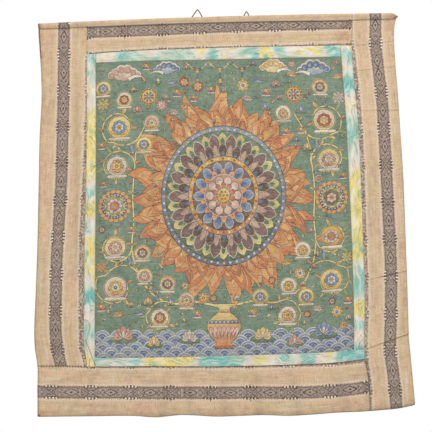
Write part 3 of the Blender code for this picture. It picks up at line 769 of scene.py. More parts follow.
def acrossBand(name, place, fromMiddle, seamFromMiddle):
    # towards the picture the cloth's pattern is set so that as much as was seen of the second band shows
    edge = seamFromMiddle - bands[name]["shown"](place)
    pitch = edge + weave["bandHalf"]
    shift = (weave["bandPitch"] - pitch) * smoothStep((fromMiddle - 16.0) / (pitch - 34.0))
    return (fromMiddle + shift) / 100


def weaveAt(name, x, z, above=0.0):
    # above is the length of cloth from the sleeve's foot up round the rod
    band = bands[name]
    if name in ("top", "bottom"):
        place, seam = x, level[name + "Seam"](x)
        fromMiddle, seamFromMiddle = band["middle"](x) - z, band["middle"](x) - seam
        if above:
            fromMiddle = min(fromMiddle, -sleeve["bandHidden"]) - above
        along = x
    else:
        place, seam = z, upright[name + "Seam"](z)
        fromMiddle, seamFromMiddle = band["middle"](z) - x, band["middle"](z) - seam
        along = z + above
    if name in ("left", "bottom"):
        fromMiddle, seamFromMiddle = -fromMiddle, -seamFromMiddle
    teeth = band["teeth"]
    if name == "right":
        seamZ, edgeZ = folds["creases"][1][:2]
        joinZ = between(seamZ, edgeZ, (x - seam) / (upright["rightEdge"](z) - seam))
        teeth = teeth if z > joinZ else band["joinTeeth"]
    return (along - teeth) / band["repeat"], acrossBand(name, place, fromMiddle, seamFromMiddle)


mount = {
    "half": 0.6,            # half the cloth's thickness
    "hemWidth": 9.5,        # turned edge, doubled behind
    "hemDouble": 0.9,
    "hemRidge": 0.22,
    "tuck": 1.3,            # set-back of a piece that runs under another
    "tuckEase": 24.0,
    "edgeDrop": 0.45,       # a lapped edge rolls down on to what lies under it
    "edgeRoll": 3.0,
    "darkCorner": -459,
    # rough width and height, for the count of rows and columns
    "left": (118.0, 820),
    "right": (100.0, 960),
    "top": (620, 70),
    "bottom": (790, 117.0),
}


def hemOffsets(fromEdge):
    # front and back offsets where the edge is turned
    inHem = 1.0 - smoothStep((fromEdge - mount["hemWidth"]) / 1.0)
    ridge = mount["hemRidge"] * exp(-((fromEdge - mount["hemWidth"]) / 1.6)**2)
    return -ridge - 0.1 * inHem, mount["hemDouble"] * inHem


def hemColumns(length, pitch):
    # places across a panel from its turned outer edge, close together at the turning
    fixed = [0.0, 1.2, 4.0, 7.5, mount["hemWidth"] - 0.1, mount["hemWidth"] + 1.1]
    start = mount["hemWidth"] + 4.0
    return fixed + [between(start, length, share) for share in evenShares(length - start, pitch)]


def panel(side, downs, columns, placeAt, material, offsets, sleeveColumns=()):
    # placeAt gives (x, z) for each of downs and columns; sleeveColumns carry the top row round the rod
    rows = []
    half = mount["half"]
    paths = [reversed(sleevePath(x)) for x in sleeveColumns]
    for turn in zip(*paths):
        row = []
        for x, (y, z, outY, outZ, above) in zip(sleeveColumns, turn):
            footZ, axisZ = sleeveFoot(x), sleeveAxisZ(x)
            outward = Vector((0.0, outY, outZ)).normalized() * half
            edgeX = upright["rightEdge"](min(z, footZ)) - 0.8
            drawnIn = max(0.0, sleeve["rightEnd"] - edgeX)
            drawnIn *= smoothStep((x - sleeve["drawnFrom"]) / sleeve["drawnOver"])
            drawnIn *= smoothStep((axisZ - z) / (axisZ - footZ))
            point = Vector((x - drawnIn, y, z))
            # painted shade in the sleeve's open ends, and on the roll's underside just above its foot,
            # darker over the bands
            ends = sum(dark * exp(-((x - end) / reach)**2) for end, reach, dark in sleeve["shadedEnds"])
            soilAndShade = min(1.0, between(0.62, 1.0, inBand(x)) * exp(-((above - 0.3) / 1.6)**2) + ends)
            row.append((point + outward, point - outward, weaveAt(side, x, footZ, above), soilAndShade))
        rows.append(row)
    for down in downs:
        row = []
        for column in columns:
            x, z = placeAt(down, column)
            front, back, soilAndShade = offsets(x, z)
            row.append((clothPoint(x, z, front - half), clothPoint(x, z, back + half),
                        weaveAt(side, x, z), min(1.0, soilAndShade)))
        rows.append(row)
    return sheetObject(side + "Cloth", rows, material)


def overLap(distance):
    # how far a lapped edge rolls down
    return mount["edgeDrop"] * (1.0 - smoothStep(distance / mount["edgeRoll"]))


def tucked(distance):
    return 1.0 - smoothStep((distance - 1.0) / mount["tuckEase"])


def inBand(x):
    # how much of the dark bands lies at the sleeve here
    left, right = bands["left"]["middle"](-35), bands["right"]["middle"](-35)
    if edgeAt("leftSeam", "atSleeve") < x < edgeAt("rightSeam", "atSleeve"):
        return 1.0
    return max(exp(-((x - left) / 15)**4), exp(-((x - right) / 15)**4))


def underStitches(x, z):
    # shadow and dirt right under the sleeve's stitches
    return between(0.28, 0.7, inBand(x)) * exp(-((z - sleeveFoot(x) + 0.3) / 1.35)**2)


def filledLines(keys, pitch):
    # key lines as (inner height, outer height), with even lines let in between them
    lines = [keys[0]]
    for (a, b), (c, d) in zip(keys, keys[1:]):
        shares = evenShares(max(abs(c - a), abs(d - b)), pitch)[1:]
        lines += [(between(a, c, share), between(b, d, share)) for share in shares]
    return lines


def hemDarkening(x, z):
    # darker along the hem, in uneven patches just above it and at its left corner
    above = z - hem(x)
    worn = 0.6 + 0.8 * rippleAt(x / 45, 2.0, 0.0)
    corner = exp(-((x - mount["darkCorner"]) / 4.0)**2 - (above / 4.0)**2)
    return 0.6 * exp(-above / 1.6) + 0.28 * worn * exp(-((above - 5.0) / 7.5)**2) + corner


def leftPanel(material):
    stripTop = level["topSeam"](edgeAt("leftSeam", "atTopSeam"))

    def innerEdge(z):
        return upright["leftSeam"](z) + hanging["lap"] * smoothStep((stripTop - 1.0 - z) / 3.0)

    width, height = mount["left"]
    places = hemColumns(width, hanging["pitch"])
    columns = [place / places[-1] for place in places]

    def placeAt(down, column):
        outer, inner = upright["leftEdge"], innerEdge
        guess = between(sleeveFoot(-400), level["bottomSeam"](-400), down)
        x = between(outer(guess), inner(guess), column)
        z = between(sleeveFoot(x), level["bottomSeam"](x), down)
        return between(outer(z), inner(z), column), z

    def offsets(x, z):
        front, back = hemOffsets(x - upright["leftEdge"](z))
        fromBottom = z - level["bottomSeam"](x)
        if z > stripTop:
            front += overLap(innerEdge(z) - x)
        front += overLap(fromBottom)
        # painted shade along the turned outer edge and along the bottom seam, with the shadow under the
        # sleeve and the folds' painted shade
        soilAndShade = underStitches(x, z) + 0.6 * exp(-(x - upright["leftEdge"](z)) / 1.7)
        soilAndShade += 0.5 * exp(-(fromBottom / 1.5)**2) + foldShade(x, z)
        return front, back, soilAndShade

    downs = [0.0, 0.0007, 0.0022, 0.005] + evenShares(height, hanging["pitch"])[2:-1] + [0.9985, 1.0]
    sleeveColumns = [placeAt(0.0, column)[0] for column in columns]
    return panel("left", downs[1:], columns, placeAt, material, offsets, sleeveColumns)


def rightPanel(material):
    stripTop = level["topSeam"](edgeAt("rightSeam", "atTopSeam"))
    stripBottom = level["bottomSeam"](edgeAt("rightSeam", "atBottomSeam"))
    places = hemColumns(mount["right"][0], hanging["pitch"])
    columns = [1.0 - place / places[-1] for place in reversed(places)]
    keys = [(sleeveFoot(318) - drop, sleeveFoot(425) - drop) for drop in (0.6, 1.8)]
    for seamZ, edgeZ, _, _ in folds["creases"]:
        for step in (12.0, 7.5, 4.5, 2.4, 1.0, 0.2, -0.5, -1.2, -2.0, -3.2, -5.2, -8.0, -12.0):
            keys.append((seamZ + step, edgeZ + step))
    keys.append((hem(upright["rightSeam"](-968)), hem(upright["rightEdge"](-966))))

    def placeAt(down, column):
        seamZ, edgeZ = down
        lap = smoothStep((stripTop - 1.0 - seamZ) / 3.0) * smoothStep((seamZ - stripBottom - 1.0) / 3.0)
        inner = upright["rightSeam"](seamZ) - hanging["lap"] * lap
        x = between(inner, upright["rightEdge"](edgeZ), column)
        return x, hem(x) if seamZ == keys[-1][0] else between(seamZ, edgeZ, column)

    def offsets(x, z):
        front, back = hemOffsets(upright["rightEdge"](z) - x)
        hemFront, hemBack = hemOffsets(z - hem(x))
        if z > stripTop or z < stripBottom:
            front += overLap(x - upright["rightSeam"](z))
        # painted shade along the turned outer edge, with the shadow under the sleeve, the creases' painted
        # shade and soil, and the hem's darkening
        soilAndShade = underStitches(x, z) + creaseAt(x, z)[1] + 0.4 * exp(-(upright["rightEdge"](z) - x) / 1.5)
        soilAndShade += hemDarkening(x, z)
        return front + hemFront, max(back, hemBack), soilAndShade

    start, end = edgeAt("rightSeam", "atSleeve"), sleeve["rightEnd"]
    sleeveColumns = [between(start, end, column) for column in columns]
    downs = filledLines(keys, hanging["pitch"])
    return panel("right", downs, columns, placeAt, material, offsets, sleeveColumns)


def topPanel(material):
    leftX, rightX = edgeAt("leftSeam", "atSleeve") + 0.3, edgeAt("rightSeam", "atSleeve") - 0.3
    middleX = (leftX + rightX) / 2
    columns = [between(leftX, rightX, share) for share in evenShares(rightX - leftX, hanging["pitch"])]

    def placeAt(down, column):
        reach = hanging["lap"] * smoothStep((down - 0.1) / 0.15)
        x = middleX + (column - middleX) * (1.0 + 2.0 * reach / (rightX - leftX))
        return x, between(sleeveFoot(x), level["topSeam"](x) - hanging["lap"], down)

    def offsets(x, z):
        fromEnd = min(x - upright["leftSeam"](z), upright["rightSeam"](z) - x)
        started = smoothStep((sleeveFoot(x) - z) / 8.0)
        tuck = mount["tuck"] * tucked(fromEnd) * started
        return tuck, tuck, underStitches(x, z)

    downs = [0.008, 0.025] + evenShares(mount["top"][1], hanging["pitch"])[1:]
    return panel("top", downs, columns, placeAt, material, offsets, columns)


def bottomPanel(material):
    sideEnd = edgeAt("leftSeam", "atBottomSeam") + hanging["lap"]
    width, height = mount["bottom"]
    columns = evenShares(width, hanging["pitch"])

    def placeAt(down, column):
        guess = between(-462, 323, column)
        z = between(level["bottomSeam"](guess) + hanging["lap"], hem(guess), down)
        return between(upright["leftEdge"](z), upright["rightSeam"](z) + hanging["lap"], column), z

    def offsets(x, z):
        front, back = hemOffsets(min(x - upright["leftEdge"](z), z - hem(x)))
        underLeft = 1.0 - 0.45 * smoothStep((x - sideEnd) / mount["tuckEase"])
        tuck = max(underLeft * tucked(level["bottomSeam"](x) - z), tucked(upright["rightSeam"](z) - x))
        tuck *= mount["tuck"]
        # darker along the hem, with painted shade beside the folds and along the turned outer edge
        soilAndShade = hemDarkening(x, z) + foldShade(x, z) + 0.6 * exp(-(x - upright["leftEdge"](z)) / 1.7)
        return tuck + front, tuck + back, soilAndShade

    downs = sorted(max(0.0, 1.0 - place / height) for place in hemColumns(height, hanging["pitch"]))
    return panel("bottom", downs, columns, placeAt, material, offsets)


# the silk strips

silk = {
    "front": -1.95,         # front of the strip's middle, before the cloth's middle
    "edgeFront": -0.95,     # its turned edges lie down on the cloth
    "edgeRoll": 2.2,
    "thickness": 0.9,
    "swell": 0.25,
    "gather": 0.22,
    "gatherPitch": 7.5,
    "pitch": 3.4,
    "colours": ((0.0, (114, 192, 182)), (0.16, (146, 200, 188)), (0.28, (182, 204, 182)),
                (0.38, (208, 218, 200)), (0.47, (232, 218, 206)), (0.56, (236, 218, 196)),
                (0.64, (222, 216, 160)), (0.74, (240, 220, 132)), (0.86, (242, 214, 116)),
                (1.0, (150, 194, 150))),
    "vein": (98, 126, 92),
    # dark of the slanted fold's line, painted shade
    "fold": (74, 104, 76),
    "dirt": (150, 132, 104),
    "pale": (246, 242, 230),
    # places on the ramp of colours, and where each dye is strongest along the strips
    "dyes": {"sea": 0.05, "mint": 0.21, "pale": 0.4, "cream": 0.54, "straw": 0.67, "yellow": 0.83,
             "leaf": 0.97},
    "silkLeft": "sea -112, pale -166, cream -222, yellow -275, straw -345, yellow -395, mint -438, "
                "yellow -478, mint -528, yellow -560, cream -660, sea -690, cream -732, mint -780, "
                "yellow -852",
    "silkRight": "leaf -92, mint -118, cream -156, sea -200, straw -238, sea -308, pale -345, cream -392, "
                 "yellow -484, yellow -560, leaf -590, pale -640, mint -700, yellow -735, mint -775, "
                 "straw -800, mint -832",
    "silkTop": "straw -300, cream -268, mint -248, pale -205, pale -150, mint -95, cream -52, sea -25, "
               "straw 0, mint 75, leaf 105, mint 135, cream 182, straw 235, sea 265, mint 286",
    "silkBottom": "mint -315, pale -265, mint -225, yellow -190, straw -145, cream -90, sea -62, "
                  "mint 20, straw 66, mint 115, cream 145, sea 178, straw 215, pale 250, sea 300",
}


def dyeAlong(name):
    patches = [patch.split() for patch in silk[name].split(", ")]
    return SmoothCurve([(float(place), silk["dyes"][dye]) for dye, place in patches])


def printedSilk():
    # the "weave" map holds place along and across the strip in hundreds of millimetres
    finish = Finish("printed silk", 0.5, sheen=0.25, specular=0.4)
    along, across, _ = finish.uv("weave")
    drift = finish.noise((along * 1.3, across * 2.0, 0.0), 2.0) - 0.5
    bend = finish.noise((along * 1.1, across * 1.5, 5.0), 2.0) - 0.5
    lengthwise, crosswise = along * 1.5 + drift * 1.6, across * 4.4 + bend * 4.5
    flow = finish.noise((lengthwise, crosswise, 3.0), 1.0, 0.5, 0.6) - 0.5
    colour = finish.ramp(finish.attribute("dye") + flow * 1.1, silk["colours"])
    wash = finish.noise((along * 2.4 + drift, across * 7.0, 7.0), 3.0, 0.6)
    veins = finish.noise((along * 1.0 + drift, across * 11.0 + bend * 9.0, 9.0), 3.0, 0.55, 0.8)
    vein = (veins - 0.47).size().ramp(0.035, 0.0).higher((veins - 0.6).size().ramp(0.02, 0.0))
    # the left strip's end is folded on the slant, and the fold's line is painted dark as its shade
    x, _, z = finish.objectPlace()
    slant = ((x + 0.3425) * 0.937 + (z + 0.802) * 0.349).size().ramp(0.0013, 0.0004)
    slant = slant * z.within(-0.854, -0.79) * x.below(-0.322)
    dirt = finish.noise((along * 5.0, across * 8.0, 2.0), 4.0, 0.65)
    soilAndShade = finish.attribute("soilAndShade").higher(dirt.ramp(0.46, 0.76) * 0.42)
    colour = finish.coats(
        colour,
        (wash.ramp(0.52, 0.7) * 0.6, silk["pale"]),
        (vein * wash.ramp(0.62, 0.4) * 0.75, silk["vein"]),
        ((veins - 0.53).size().ramp(0.03, 0.0) * 0.5, silk["pale"]),
        (slant * 0.75, silk["fold"]),
        (soilAndShade * 0.5, silk["dirt"]))
    fine = finish.noise((along * 60.0, across * 140.0, 0.0), 2.0)
    crumple = finish.noise((along * 12.0, across * 22.0, 5.0), 3.0, 0.6)
    return finish.finish(colour, fine * 0.25 + crumple, 0.8)


def stripSheet(name, length, width, placeAt, material, seed):
    # placeAt gives (x, z) for shares along and across the strip
    rows = []
    dyeAt = dyeAlong(name)
    isLevel = name in ("silkTop", "silkBottom")
    edge = silk["edgeRoll"] / width
    rim = [0.0, 0.3 * edge, 0.65 * edge, edge]
    shares = evenShares(width - 2 * silk["edgeRoll"], silk["pitch"])[1:-1]
    shares = rim + [between(edge, 1 - edge, share) for share in shares] + [1 - share for share in rim[::-1]]
    for down in evenShares(length, silk["pitch"]):
        row = []
        for share in shares:
            x, z = placeAt(down, share)
            fromEdge = min(share, 1.0 - share) * width
            fromEnd = min(down, 1.0 - down) * length
            rolled = smoothStep(min(fromEdge, fromEnd) / silk["edgeRoll"])**0.5
            gather = silk["gather"] * sin(2 * pi * down * length / silk["gatherPitch"] + seed)
            gather *= exp(-fromEdge / 3.5) * rolled
            swell = silk["swell"] * rippleAt(down * length / 14, share * 1.6, seed)
            offset = between(silk["edgeFront"], silk["front"], rolled) - gather - swell * rolled
            row.append((clothPoint(x, z, offset),
                        clothPoint(x, z, max(offset + 0.25, silk["front"] + silk["thickness"])),
                        (down * length / 100 + seed * 3.1, share * width / 100),
                        0.8 * exp(-fromEdge / 0.9), dyeAt(x if isLevel else z)))
        rows.append(row)
    if rows[0][0][0].x > rows[0][-1][0].x:
        rows = [row[::-1] for row in rows]
    return sheetObject(name, rows, material)


def silkStrips(material):
    def uprightStrip(outer, inner, bottom):
        cornerX = edgeAt(outer, "atTopSeam")
        topZ, bottomZ = level["topSeam"](cornerX) + 0.6, level[bottom](cornerX)

        def at(down, across):
            z = between(topZ, bottomZ, down)
            x = between(upright[outer](z), upright[inner](z), across)
            return x, between(level["topSeam"](x) + 0.6, level[bottom](x), down)
        return topZ - bottomZ, abs(edgeAt(outer, "halfWay") - edgeAt(inner, "halfWay")), at

    def levelStrip(upper, lower, leftX, rightX):
        def at(down, across):
            x = between(rightX, leftX, down)
            return x, between(level[upper](x), level[lower](x), across)
        return rightX - leftX, level[upper](0) - level[lower](0), at

    topEnds = edgeAt("pictureLeft", "atTopSeam") + 0.2, edgeAt("pictureRight", "atTopSeam") - 0.2
    bottomEnds = edgeAt("pictureLeft", "atBottomSeam") + 0.2, edgeAt("rightSeam", "atBottomSeam") - 0.2
    strips = (("silkLeft", uprightStrip("leftSeam", "pictureLeft", "bottomSeam"), 0.7),
              ("silkRight", uprightStrip("rightSeam", "pictureRight", "pictureBottom"), 2.3),
              ("silkTop", levelStrip("topSeam", "pictureTop", *topEnds), 4.9),
              ("silkBottom", levelStrip("pictureBottom", "bottomSeam", *bottomEnds), 8.2))
    return [stripSheet(name, *strip, material, seed) for name, strip, seed in strips]


def hangingRod(wood):
    leftEnd, rightEnd, radius = rodShape["leftEnd"], rodShape["rightEnd"], rodShape["diameter"] / 2
    middle = Vector(((leftEnd + rightEnd) / 2, hanging["clothY"], 0.0))
    bpy.ops.mesh.primitive_cylinder_add(vertices=32, radius=radius * mm, depth=(rightEnd - leftEnd) * mm,
                                        location=middle * mm, rotation=(0, pi / 2, 0))
    piece = bpy.context.object
    piece.name = "woodenRod"
    bpy.ops.object.transform_apply(location=True, rotation=True, scale=True)
    bpy.ops.object.mode_set(mode="EDIT")
    for i in range(1, rodShape["cuts"]):
        cut = between(leftEnd, rightEnd, i / rodShape["cuts"])
        bpy.ops.mesh.select_all(action="SELECT")
        bpy.ops.mesh.bisect(plane_co=(cut * mm, 0, 0), plane_no=(1, 0, 0))
    bpy.ops.mesh.select_all(action="DESELECT")
    bpy.ops.object.mode_set(mode="OBJECT")
    for polygon in piece.data.polygons:
        polygon.select = abs(polygon.normal.x) > 0.9
    bpy.ops.object.mode_set(mode="EDIT")
    bpy.ops.mesh.region_to_loop()
    bpy.ops.mesh.bevel(offset=rodShape["endBevel"] * mm, segments=3)
    bpy.ops.object.mode_set(mode="OBJECT")
    for vert in piece.data.vertices:
        knots = 0.12 * rippleAt(vert.co.x / mm / 60, vert.co.y * 200, vert.co.z * 200)
        vert.co.z += (rodZ(vert.co.x / mm) + knots) * mm
    bpy.ops.object.shade_smooth_by_angle(angle=radians(40))
    piece.data.materials.append(wood)
    return piece


def rubbedWood():
    finish = Finish("rubbed wood", 0.62, specular=0.35)
    x, y, z = finish.objectPlace()
    grain = finish.noise((x * 14.0, y * 900.0, z * 900.0), 4.0, 0.6, 0.4)
    tone = finish.noise((x * 3.0, y * 60.0, z * 60.0), 3.0)
    colour = finish.ramp((grain * 0.6 + tone * 0.4).ramp(0.3, 0.7),
                         ((0.0, (104, 70, 44)), (0.5, (146, 104, 68)), (1.0, (176, 134, 92))))
    return finish.finish(colour, grain, 0.12)


cloth = handwovenCloth()
rod = addTo(hangingRod(rubbedWood()), "rod_wood", "rod")
leftCloth = addCloth(leftPanel(cloth), "handwoven_cloth", "left_panel", 124, 887, 0.1053, [rod])
rightCloth = addCloth(rightPanel(cloth), "handwoven_cloth", "right_panel", 114, 1009, 0.1074, [rod])
topCloth = addCloth(topPanel(cloth), "handwoven_cloth", "top_panel", 658, 121, 0.0777, [rod])
bottomCloth = addCloth(bottomPanel(cloth), "handwoven_cloth", "bottom_panel", 788, 126, 0.0966,
                       [leftCloth, rightCloth])
print("rod in its sleeve of mount cloth")

silkSheets = (("border_left", 25, 757, 0.0186, leftCloth), ("border_right", 29, 740, 0.0205, rightCloth),
              ("border_top", 29, 597, 0.0172, topCloth), ("border_bottom", 25, 638, 0.0155, bottomCloth))
for piece, (node, *cutSize, under) in zip(silkStrips(printedSilk()), silkSheets):
    addCloth(piece, "printed_silk", node, *cutSize, [under])
print("silk strips sewn")

# the painted picture: a lotus mandala with scrolling vines, painted stroke over stroke

picture = {
    "halfWidth": 326.6,     # of the whole canvas, with its margins under the silk
    "halfHeight": 379.6,
    "ground": 7.0,          # bare margin round the painted ground
    "front": -0.5,
    "back": 0.6,
    "tile": 9,              # the canvas is cut into this many steps of the grid for its sums
    "gridAcross": 81,
    "gridDown": 90,
    "hand": 0.35,           # unsteadiness of the brush
    "seed": 41,
    "pigments": {
        "canvas": (198, 176, 144), "ground": (112, 142, 122), "ink": (72, 58, 54),
        "deep": (84, 112, 90), "leaf": (118, 156, 112), "moss": (158, 172, 112),
        "mossy": (128, 150, 108), "sea": (128, 160, 142),
        "brown": (96, 76, 74), "plum": (134, 100, 100), "flesh": (206, 168, 148),
        "rose": (226, 176, 160), "red": (192, 92, 74), "brick": (208, 118, 78),
        "orange": (226, 148, 88), "apricot": (236, 180, 118), "yellow": (234, 190, 86),
        "straw": (240, 216, 142), "cream": (232, 218, 196), "white": (240, 232, 216),
        "blue": (78, 100, 154), "slate": (104, 122, 158), "sky": (146, 168, 190),
        "mist": (186, 198, 198),
    },
}
hand = random.Random(picture["seed"])
strokes = []            # (points, colour, end colour, fade's start, fade's axis)
taken = []              # circles that hold a motif already: u, v, radius
stretch = {"middle": 0.0, "tall": 1.0}


def unsteady(amount):
    return hand.uniform(-amount, amount)


def anyOf(*choices):
    return hand.choice(choices)


def off(at, x, y, size=1.0):
    return at[0] + x * size, at[1] + y * size


def around(at, radius, angle):
    return at[0] + radius * cos(angle), at[1] + radius * sin(angle)


def ringOf(at, radius, count):
    return [around(at, radius, 2 * pi * i / count) for i in range(count)]


def grown(points, amount):
    # a shape let out by the same amount all round
    result = []
    count = len(points)
    for i, (x, y) in enumerate(points):
        x0, y0 = points[i - 1]
        x1, y1 = points[(i + 1) % count]
        dx, dy = x1 - x0, y1 - y0
        length = hypot(dx, dy) or 1.0
        result.append((x + dy / length * amount, y - dx / length * amount))
    return result


def brush(points, colour, fade=None, at=(0.0, 0.0), turn=0.0, line=0.0, ink="ink"):
    # paint a shape that is drawn about (0, 0) and pointing up, with a line round it
    def placed(x, y):
        u = at[0] + x * cos(turn) - y * sin(turn)
        v = at[1] + x * sin(turn) + y * cos(turn)
        v = stretch["middle"] + (v - stretch["middle"]) * stretch["tall"]
        limitU, limitV = picture["halfWidth"] - 2.0, picture["halfHeight"] - 2.0
        return min(limitU, max(-limitU, u)), min(limitV, max(-limitV, v))

    pigments = picture["pigments"]
    shake = picture["hand"]
    points = [(x + unsteady(shake), y + unsteady(shake)) for x, y in points]
    low, high = min(y for _, y in points), max(y for _, y in points)
    start, end = placed(0.0, low), placed(0.0, high)
    axis = Vector((end[0] - start[0], end[1] - start[1]))
    axis /= max(axis.length_squared, 1e-6)
    if line:
        inkColour = pigments[ink]
        outline = [placed(x, y) for x, y in grown(points, line)]
        strokes.append((outline, inkColour, inkColour, start, axis))
    tint = 1.0 + unsteady(0.05)
    first = tuple(value * tint for value in pigments[colour])
    last = tuple(value * tint for value in pigments[fade or colour])
    strokes.append(([placed(x, y) for x, y in points], first, last, start, axis))


def petalShape(length, width, full=0.6, bend=0.0, steps=None, sway=0.0):
    # full is the share of its length at which the petal is widest
    near, far = [], []
    steps = steps or (5 if length < 18 else 6 if length < 30 else 8)
    power = 0.693 / -log(full)
    for i in range(1, steps):
        share = i / steps
        half = width / 2 * sin(pi * share**power)**0.8
        middle = bend * share * share + sway * sin(2 * pi * share)
        near.append((middle + half, length * share))
        far.append((middle - half, length * share))
    return [(0.0, 0.0)] + near + [(bend, length)] + far[::-1]


def discShape(radius):
    return ringOf((0.0, 0.0), radius, max(8, int(6 + radius * 0.55)))


def smoothPath(points, pitch=5.0):
    padded = [points[0]] + list(points) + [points[-1]]
    path = []
    for a, b, c, d in zip(padded, padded[1:], padded[2:], padded[3:]):
        steps = max(2, int(hypot(c[0] - b[0], c[1] - b[1]) / pitch))
        for k in range(steps):
            t = k / steps
            path.append(tuple(0.5 * (2 * b[i] + (c[i] - a[i]) * t
                                     + (2 * a[i] - 5 * b[i] + 4 * c[i] - d[i]) * t**2
                                     + (3 * b[i] - a[i] - 3 * c[i] + d[i]) * t**3) for i in (0, 1)))
    return path + [points[-1]]


def stem(path, width, tipWidth, colour, line=0.9):
    near, far = [], []
    for i, (x, y) in enumerate(path):
        x0, y0 = path[max(i - 1, 0)]
        x1, y1 = path[min(i + 1, len(path) - 1)]
        length = hypot(x1 - x0, y1 - y0) or 1.0
        half = between(width, tipWidth, i / (len(path) - 1)) / 2
        dx, dy = (x1 - x0) / length * half, (y1 - y0) / length * half
        near.append((x + dy, y - dx))
        far.append((x - dy, y + dx))
    brush(near + far[::-1], colour, line=line)


def disc(at, radius, colour, fade=None, line=0.0, ink="ink"):
    brush(discShape(radius), colour, fade, at, line=line, ink=ink)


def petal(at, turn, length, width, colour, fade, full=0.6, bend=0.0, line=0.9, ink="ink", heart=None):
    shape = petalShape(length, width, full, bend)
    brush(shape, colour, fade, at, turn, line, ink)
    if heart:
        inner = petalShape(length * 0.62, width * 0.42, full, bend * 0.5, 4 if length < 25 else 6)
        brush(inner, heart, None, at, turn)


def flame(at, turn, length, width, colours):
    # a tongue of flame that sways to its tip, one colour within the other
    bend, sway = unsteady(0.34) * length, unsteady(0.08) * length
    for size, colour, fade, line in zip((1.0, 0.76, 0.46), colours, colours[1:], (1.0, 0.6, 0.0)):
        shape = petalShape(length * size, width * size, 0.36, bend * size, 7, sway * size)
        brush(shape, colour, fade, at, turn, line)


def petalRing(at, count, inner, outer, width, colour, fade, turn=0.0, **look):
    for i in range(count):
        angle = turn + 2 * pi * i / count + unsteady(0.012)
        length = (outer - inner) * (1.0 + unsteady(0.03))
        petal(around(at, inner, angle), angle - pi / 2, length, width, colour, fade, **look)


blossoms = {
    # outer petals: count, colour and tip; inner petals: the same; eye and its dot
    "pink": (10, "red", "rose", 7, "rose", "white", "yellow", "brick"),
    "blue": (8, "blue", "sky", 6, "sky", "white", "orange", "ink"),
    "orange": (9, "brick", "apricot", 6, "yellow", "straw", "red", "straw"),
    "yellow": (8, "orange", "yellow", 8, "straw", "white", "blue", "cream"),
    "red": (8, "plum", "red", 6, "orange", "straw", "cream", "red"),
    "cream": (9, "flesh", "cream", 6, "rose", "red", "yellow", "blue"),
    "brown": (8, "brown", "plum", 6, "flesh", "cream", "orange", "brown"),
}


def blossom(at, radius, kind, turn=0.0):
    outer, colour, tip, inner, innerColour, innerTip, eye, dot = blossoms[kind]
    disc(at, radius * 0.55, "ink")
    petalRing(at, outer, radius * 0.16, radius, radius * 5.0 / outer, colour, tip, turn, full=0.66)
    petalRing(at, inner, radius * 0.08, radius * 0.62, radius * 2.9 / inner, innerColour, innerTip,
              turn + pi / inner, full=0.66, line=0.7)
    disc(at, radius * 0.22, eye, line=0.7)
    disc(at, radius * 0.09, dot)
    taken.append((*at, radius))


def leaf(at, turn, length, colour="deep", fade="leaf", bend=0.0):
    petal(at, turn, length, length * 0.42, colour, fade, 0.45, bend, 0.8, heart="moss")


tips = {"red": "rose", "blue": "sky", "orange": "straw", "flesh": "white"}


def spray(at, turn, size, colour):
    # a small cut sprig: two leaves and a bud
    for side in (-1, 1):
        leaf(at, turn + side * 0.95, size * 0.8, bend=-side * size * 0.12)
    petal(at, turn, size * 1.15, size * 0.5, colour, tips[colour], 0.62, heart="straw")
    disc(at, size * 0.16, "brown")
    taken.append((*at, size))


vineLeaves = (("leaf", "moss"), ("blue", "sky"), ("orange", "straw"), ("leaf", "moss"), ("red", "apricot"))
moons = {"pink": ("cream", "straw"), "blue": ("yellow", "straw"), "orange": ("cream", "white"),
         "yellow": ("rose", "cream"), "red": ("straw", "cream"), "cream": ("orange", "yellow"),
         "brown": ("cream", "apricot")}


def medallion(at, radius, kind):
    # a blossom on a pale moon, over a cushion of lotus petals
    disc(at, radius, "brown", line=0.8, ink="straw")
    disc(at, radius * 0.94, *moons[kind])
    for side in (-1, 1):
        for k, turn in enumerate((0.35, 0.75, 1.15)):
            leaf((at[0], at[1] - radius * 0.62), side * turn, radius * (1.1 - 0.16 * k), *vineLeaves[k])
    blossom(at, radius * 0.62, kind)
    low = (at[0], at[1] - radius * 0.98)
    for i in range(7):
        petal((low[0] + (i - 3) * radius * 0.26, low[1] + radius * 0.1), radians((3 - i) * 9 + 180),
              radius * 0.34, radius * 0.28, "rose" if i % 2 else "orange", "straw", line=0.7)
    cushion = ((-1.0, 0.0), (-0.86, -0.1), (0.86, -0.1), (1.0, 0.0), (0.8, 0.12), (-0.8, 0.12))
    brush([(x * radius, y * radius) for x, y in cushion], "cream", "white", low, line=0.9)
    taken.append((at[0], at[1] - radius * 0.12, radius * 1.18))


def tuft(at, size):
    # blades and specks of painted grass
    for i in range(anyOf(3, 4, 5)):
        turn = unsteady(1.1)
        brush(petalShape(size * (1 + unsteady(0.3)), size * 0.26, 0.5, unsteady(size * 0.3), 3),
              anyOf("deep", "leaf", "mossy", "deep", "sea"), None, at, turn)


def windingVine(start, at, radius, way, kind, turns=1.15):
    # a stem that leaves start, winds round to a blossom and puts out leaves on its outer side
    first = atan2(start[1] - at[1], start[0] - at[0])
    reach = hypot(start[0] - at[0], start[1] - at[1])
    path = [start]
    steps = 22
    for i in range(1, steps + 1):
        share = i / steps
        angle = first + way * 2 * pi * turns * share
        ring = between(max(reach * 0.96, radius), radius * 0.52, share)
        if share < 0.25:
            ring = between(reach, radius, smoothStep(share * 4))
        path.append(around(at, ring, angle))
    stem(smoothPath(path, 4.0), 3.6, 2.2, "straw")
    for i in range(2, steps - 3, 2):
        u, v = path[i]
        turn = atan2(v - at[1], u - at[0]) - pi / 2 + way * (0.75 if i % 4 else 1.35)
        length = radius * (0.62 if i % 4 else 0.42) * (1.15 - 0.5 * i / steps)
        leaf((u, v), turn, length, *vineLeaves[i // 2 % len(vineLeaves)], bend=way * length * 0.3)
    medallion(at, radius * 0.72, kind)
    taken.append((*at, radius * 1.12))


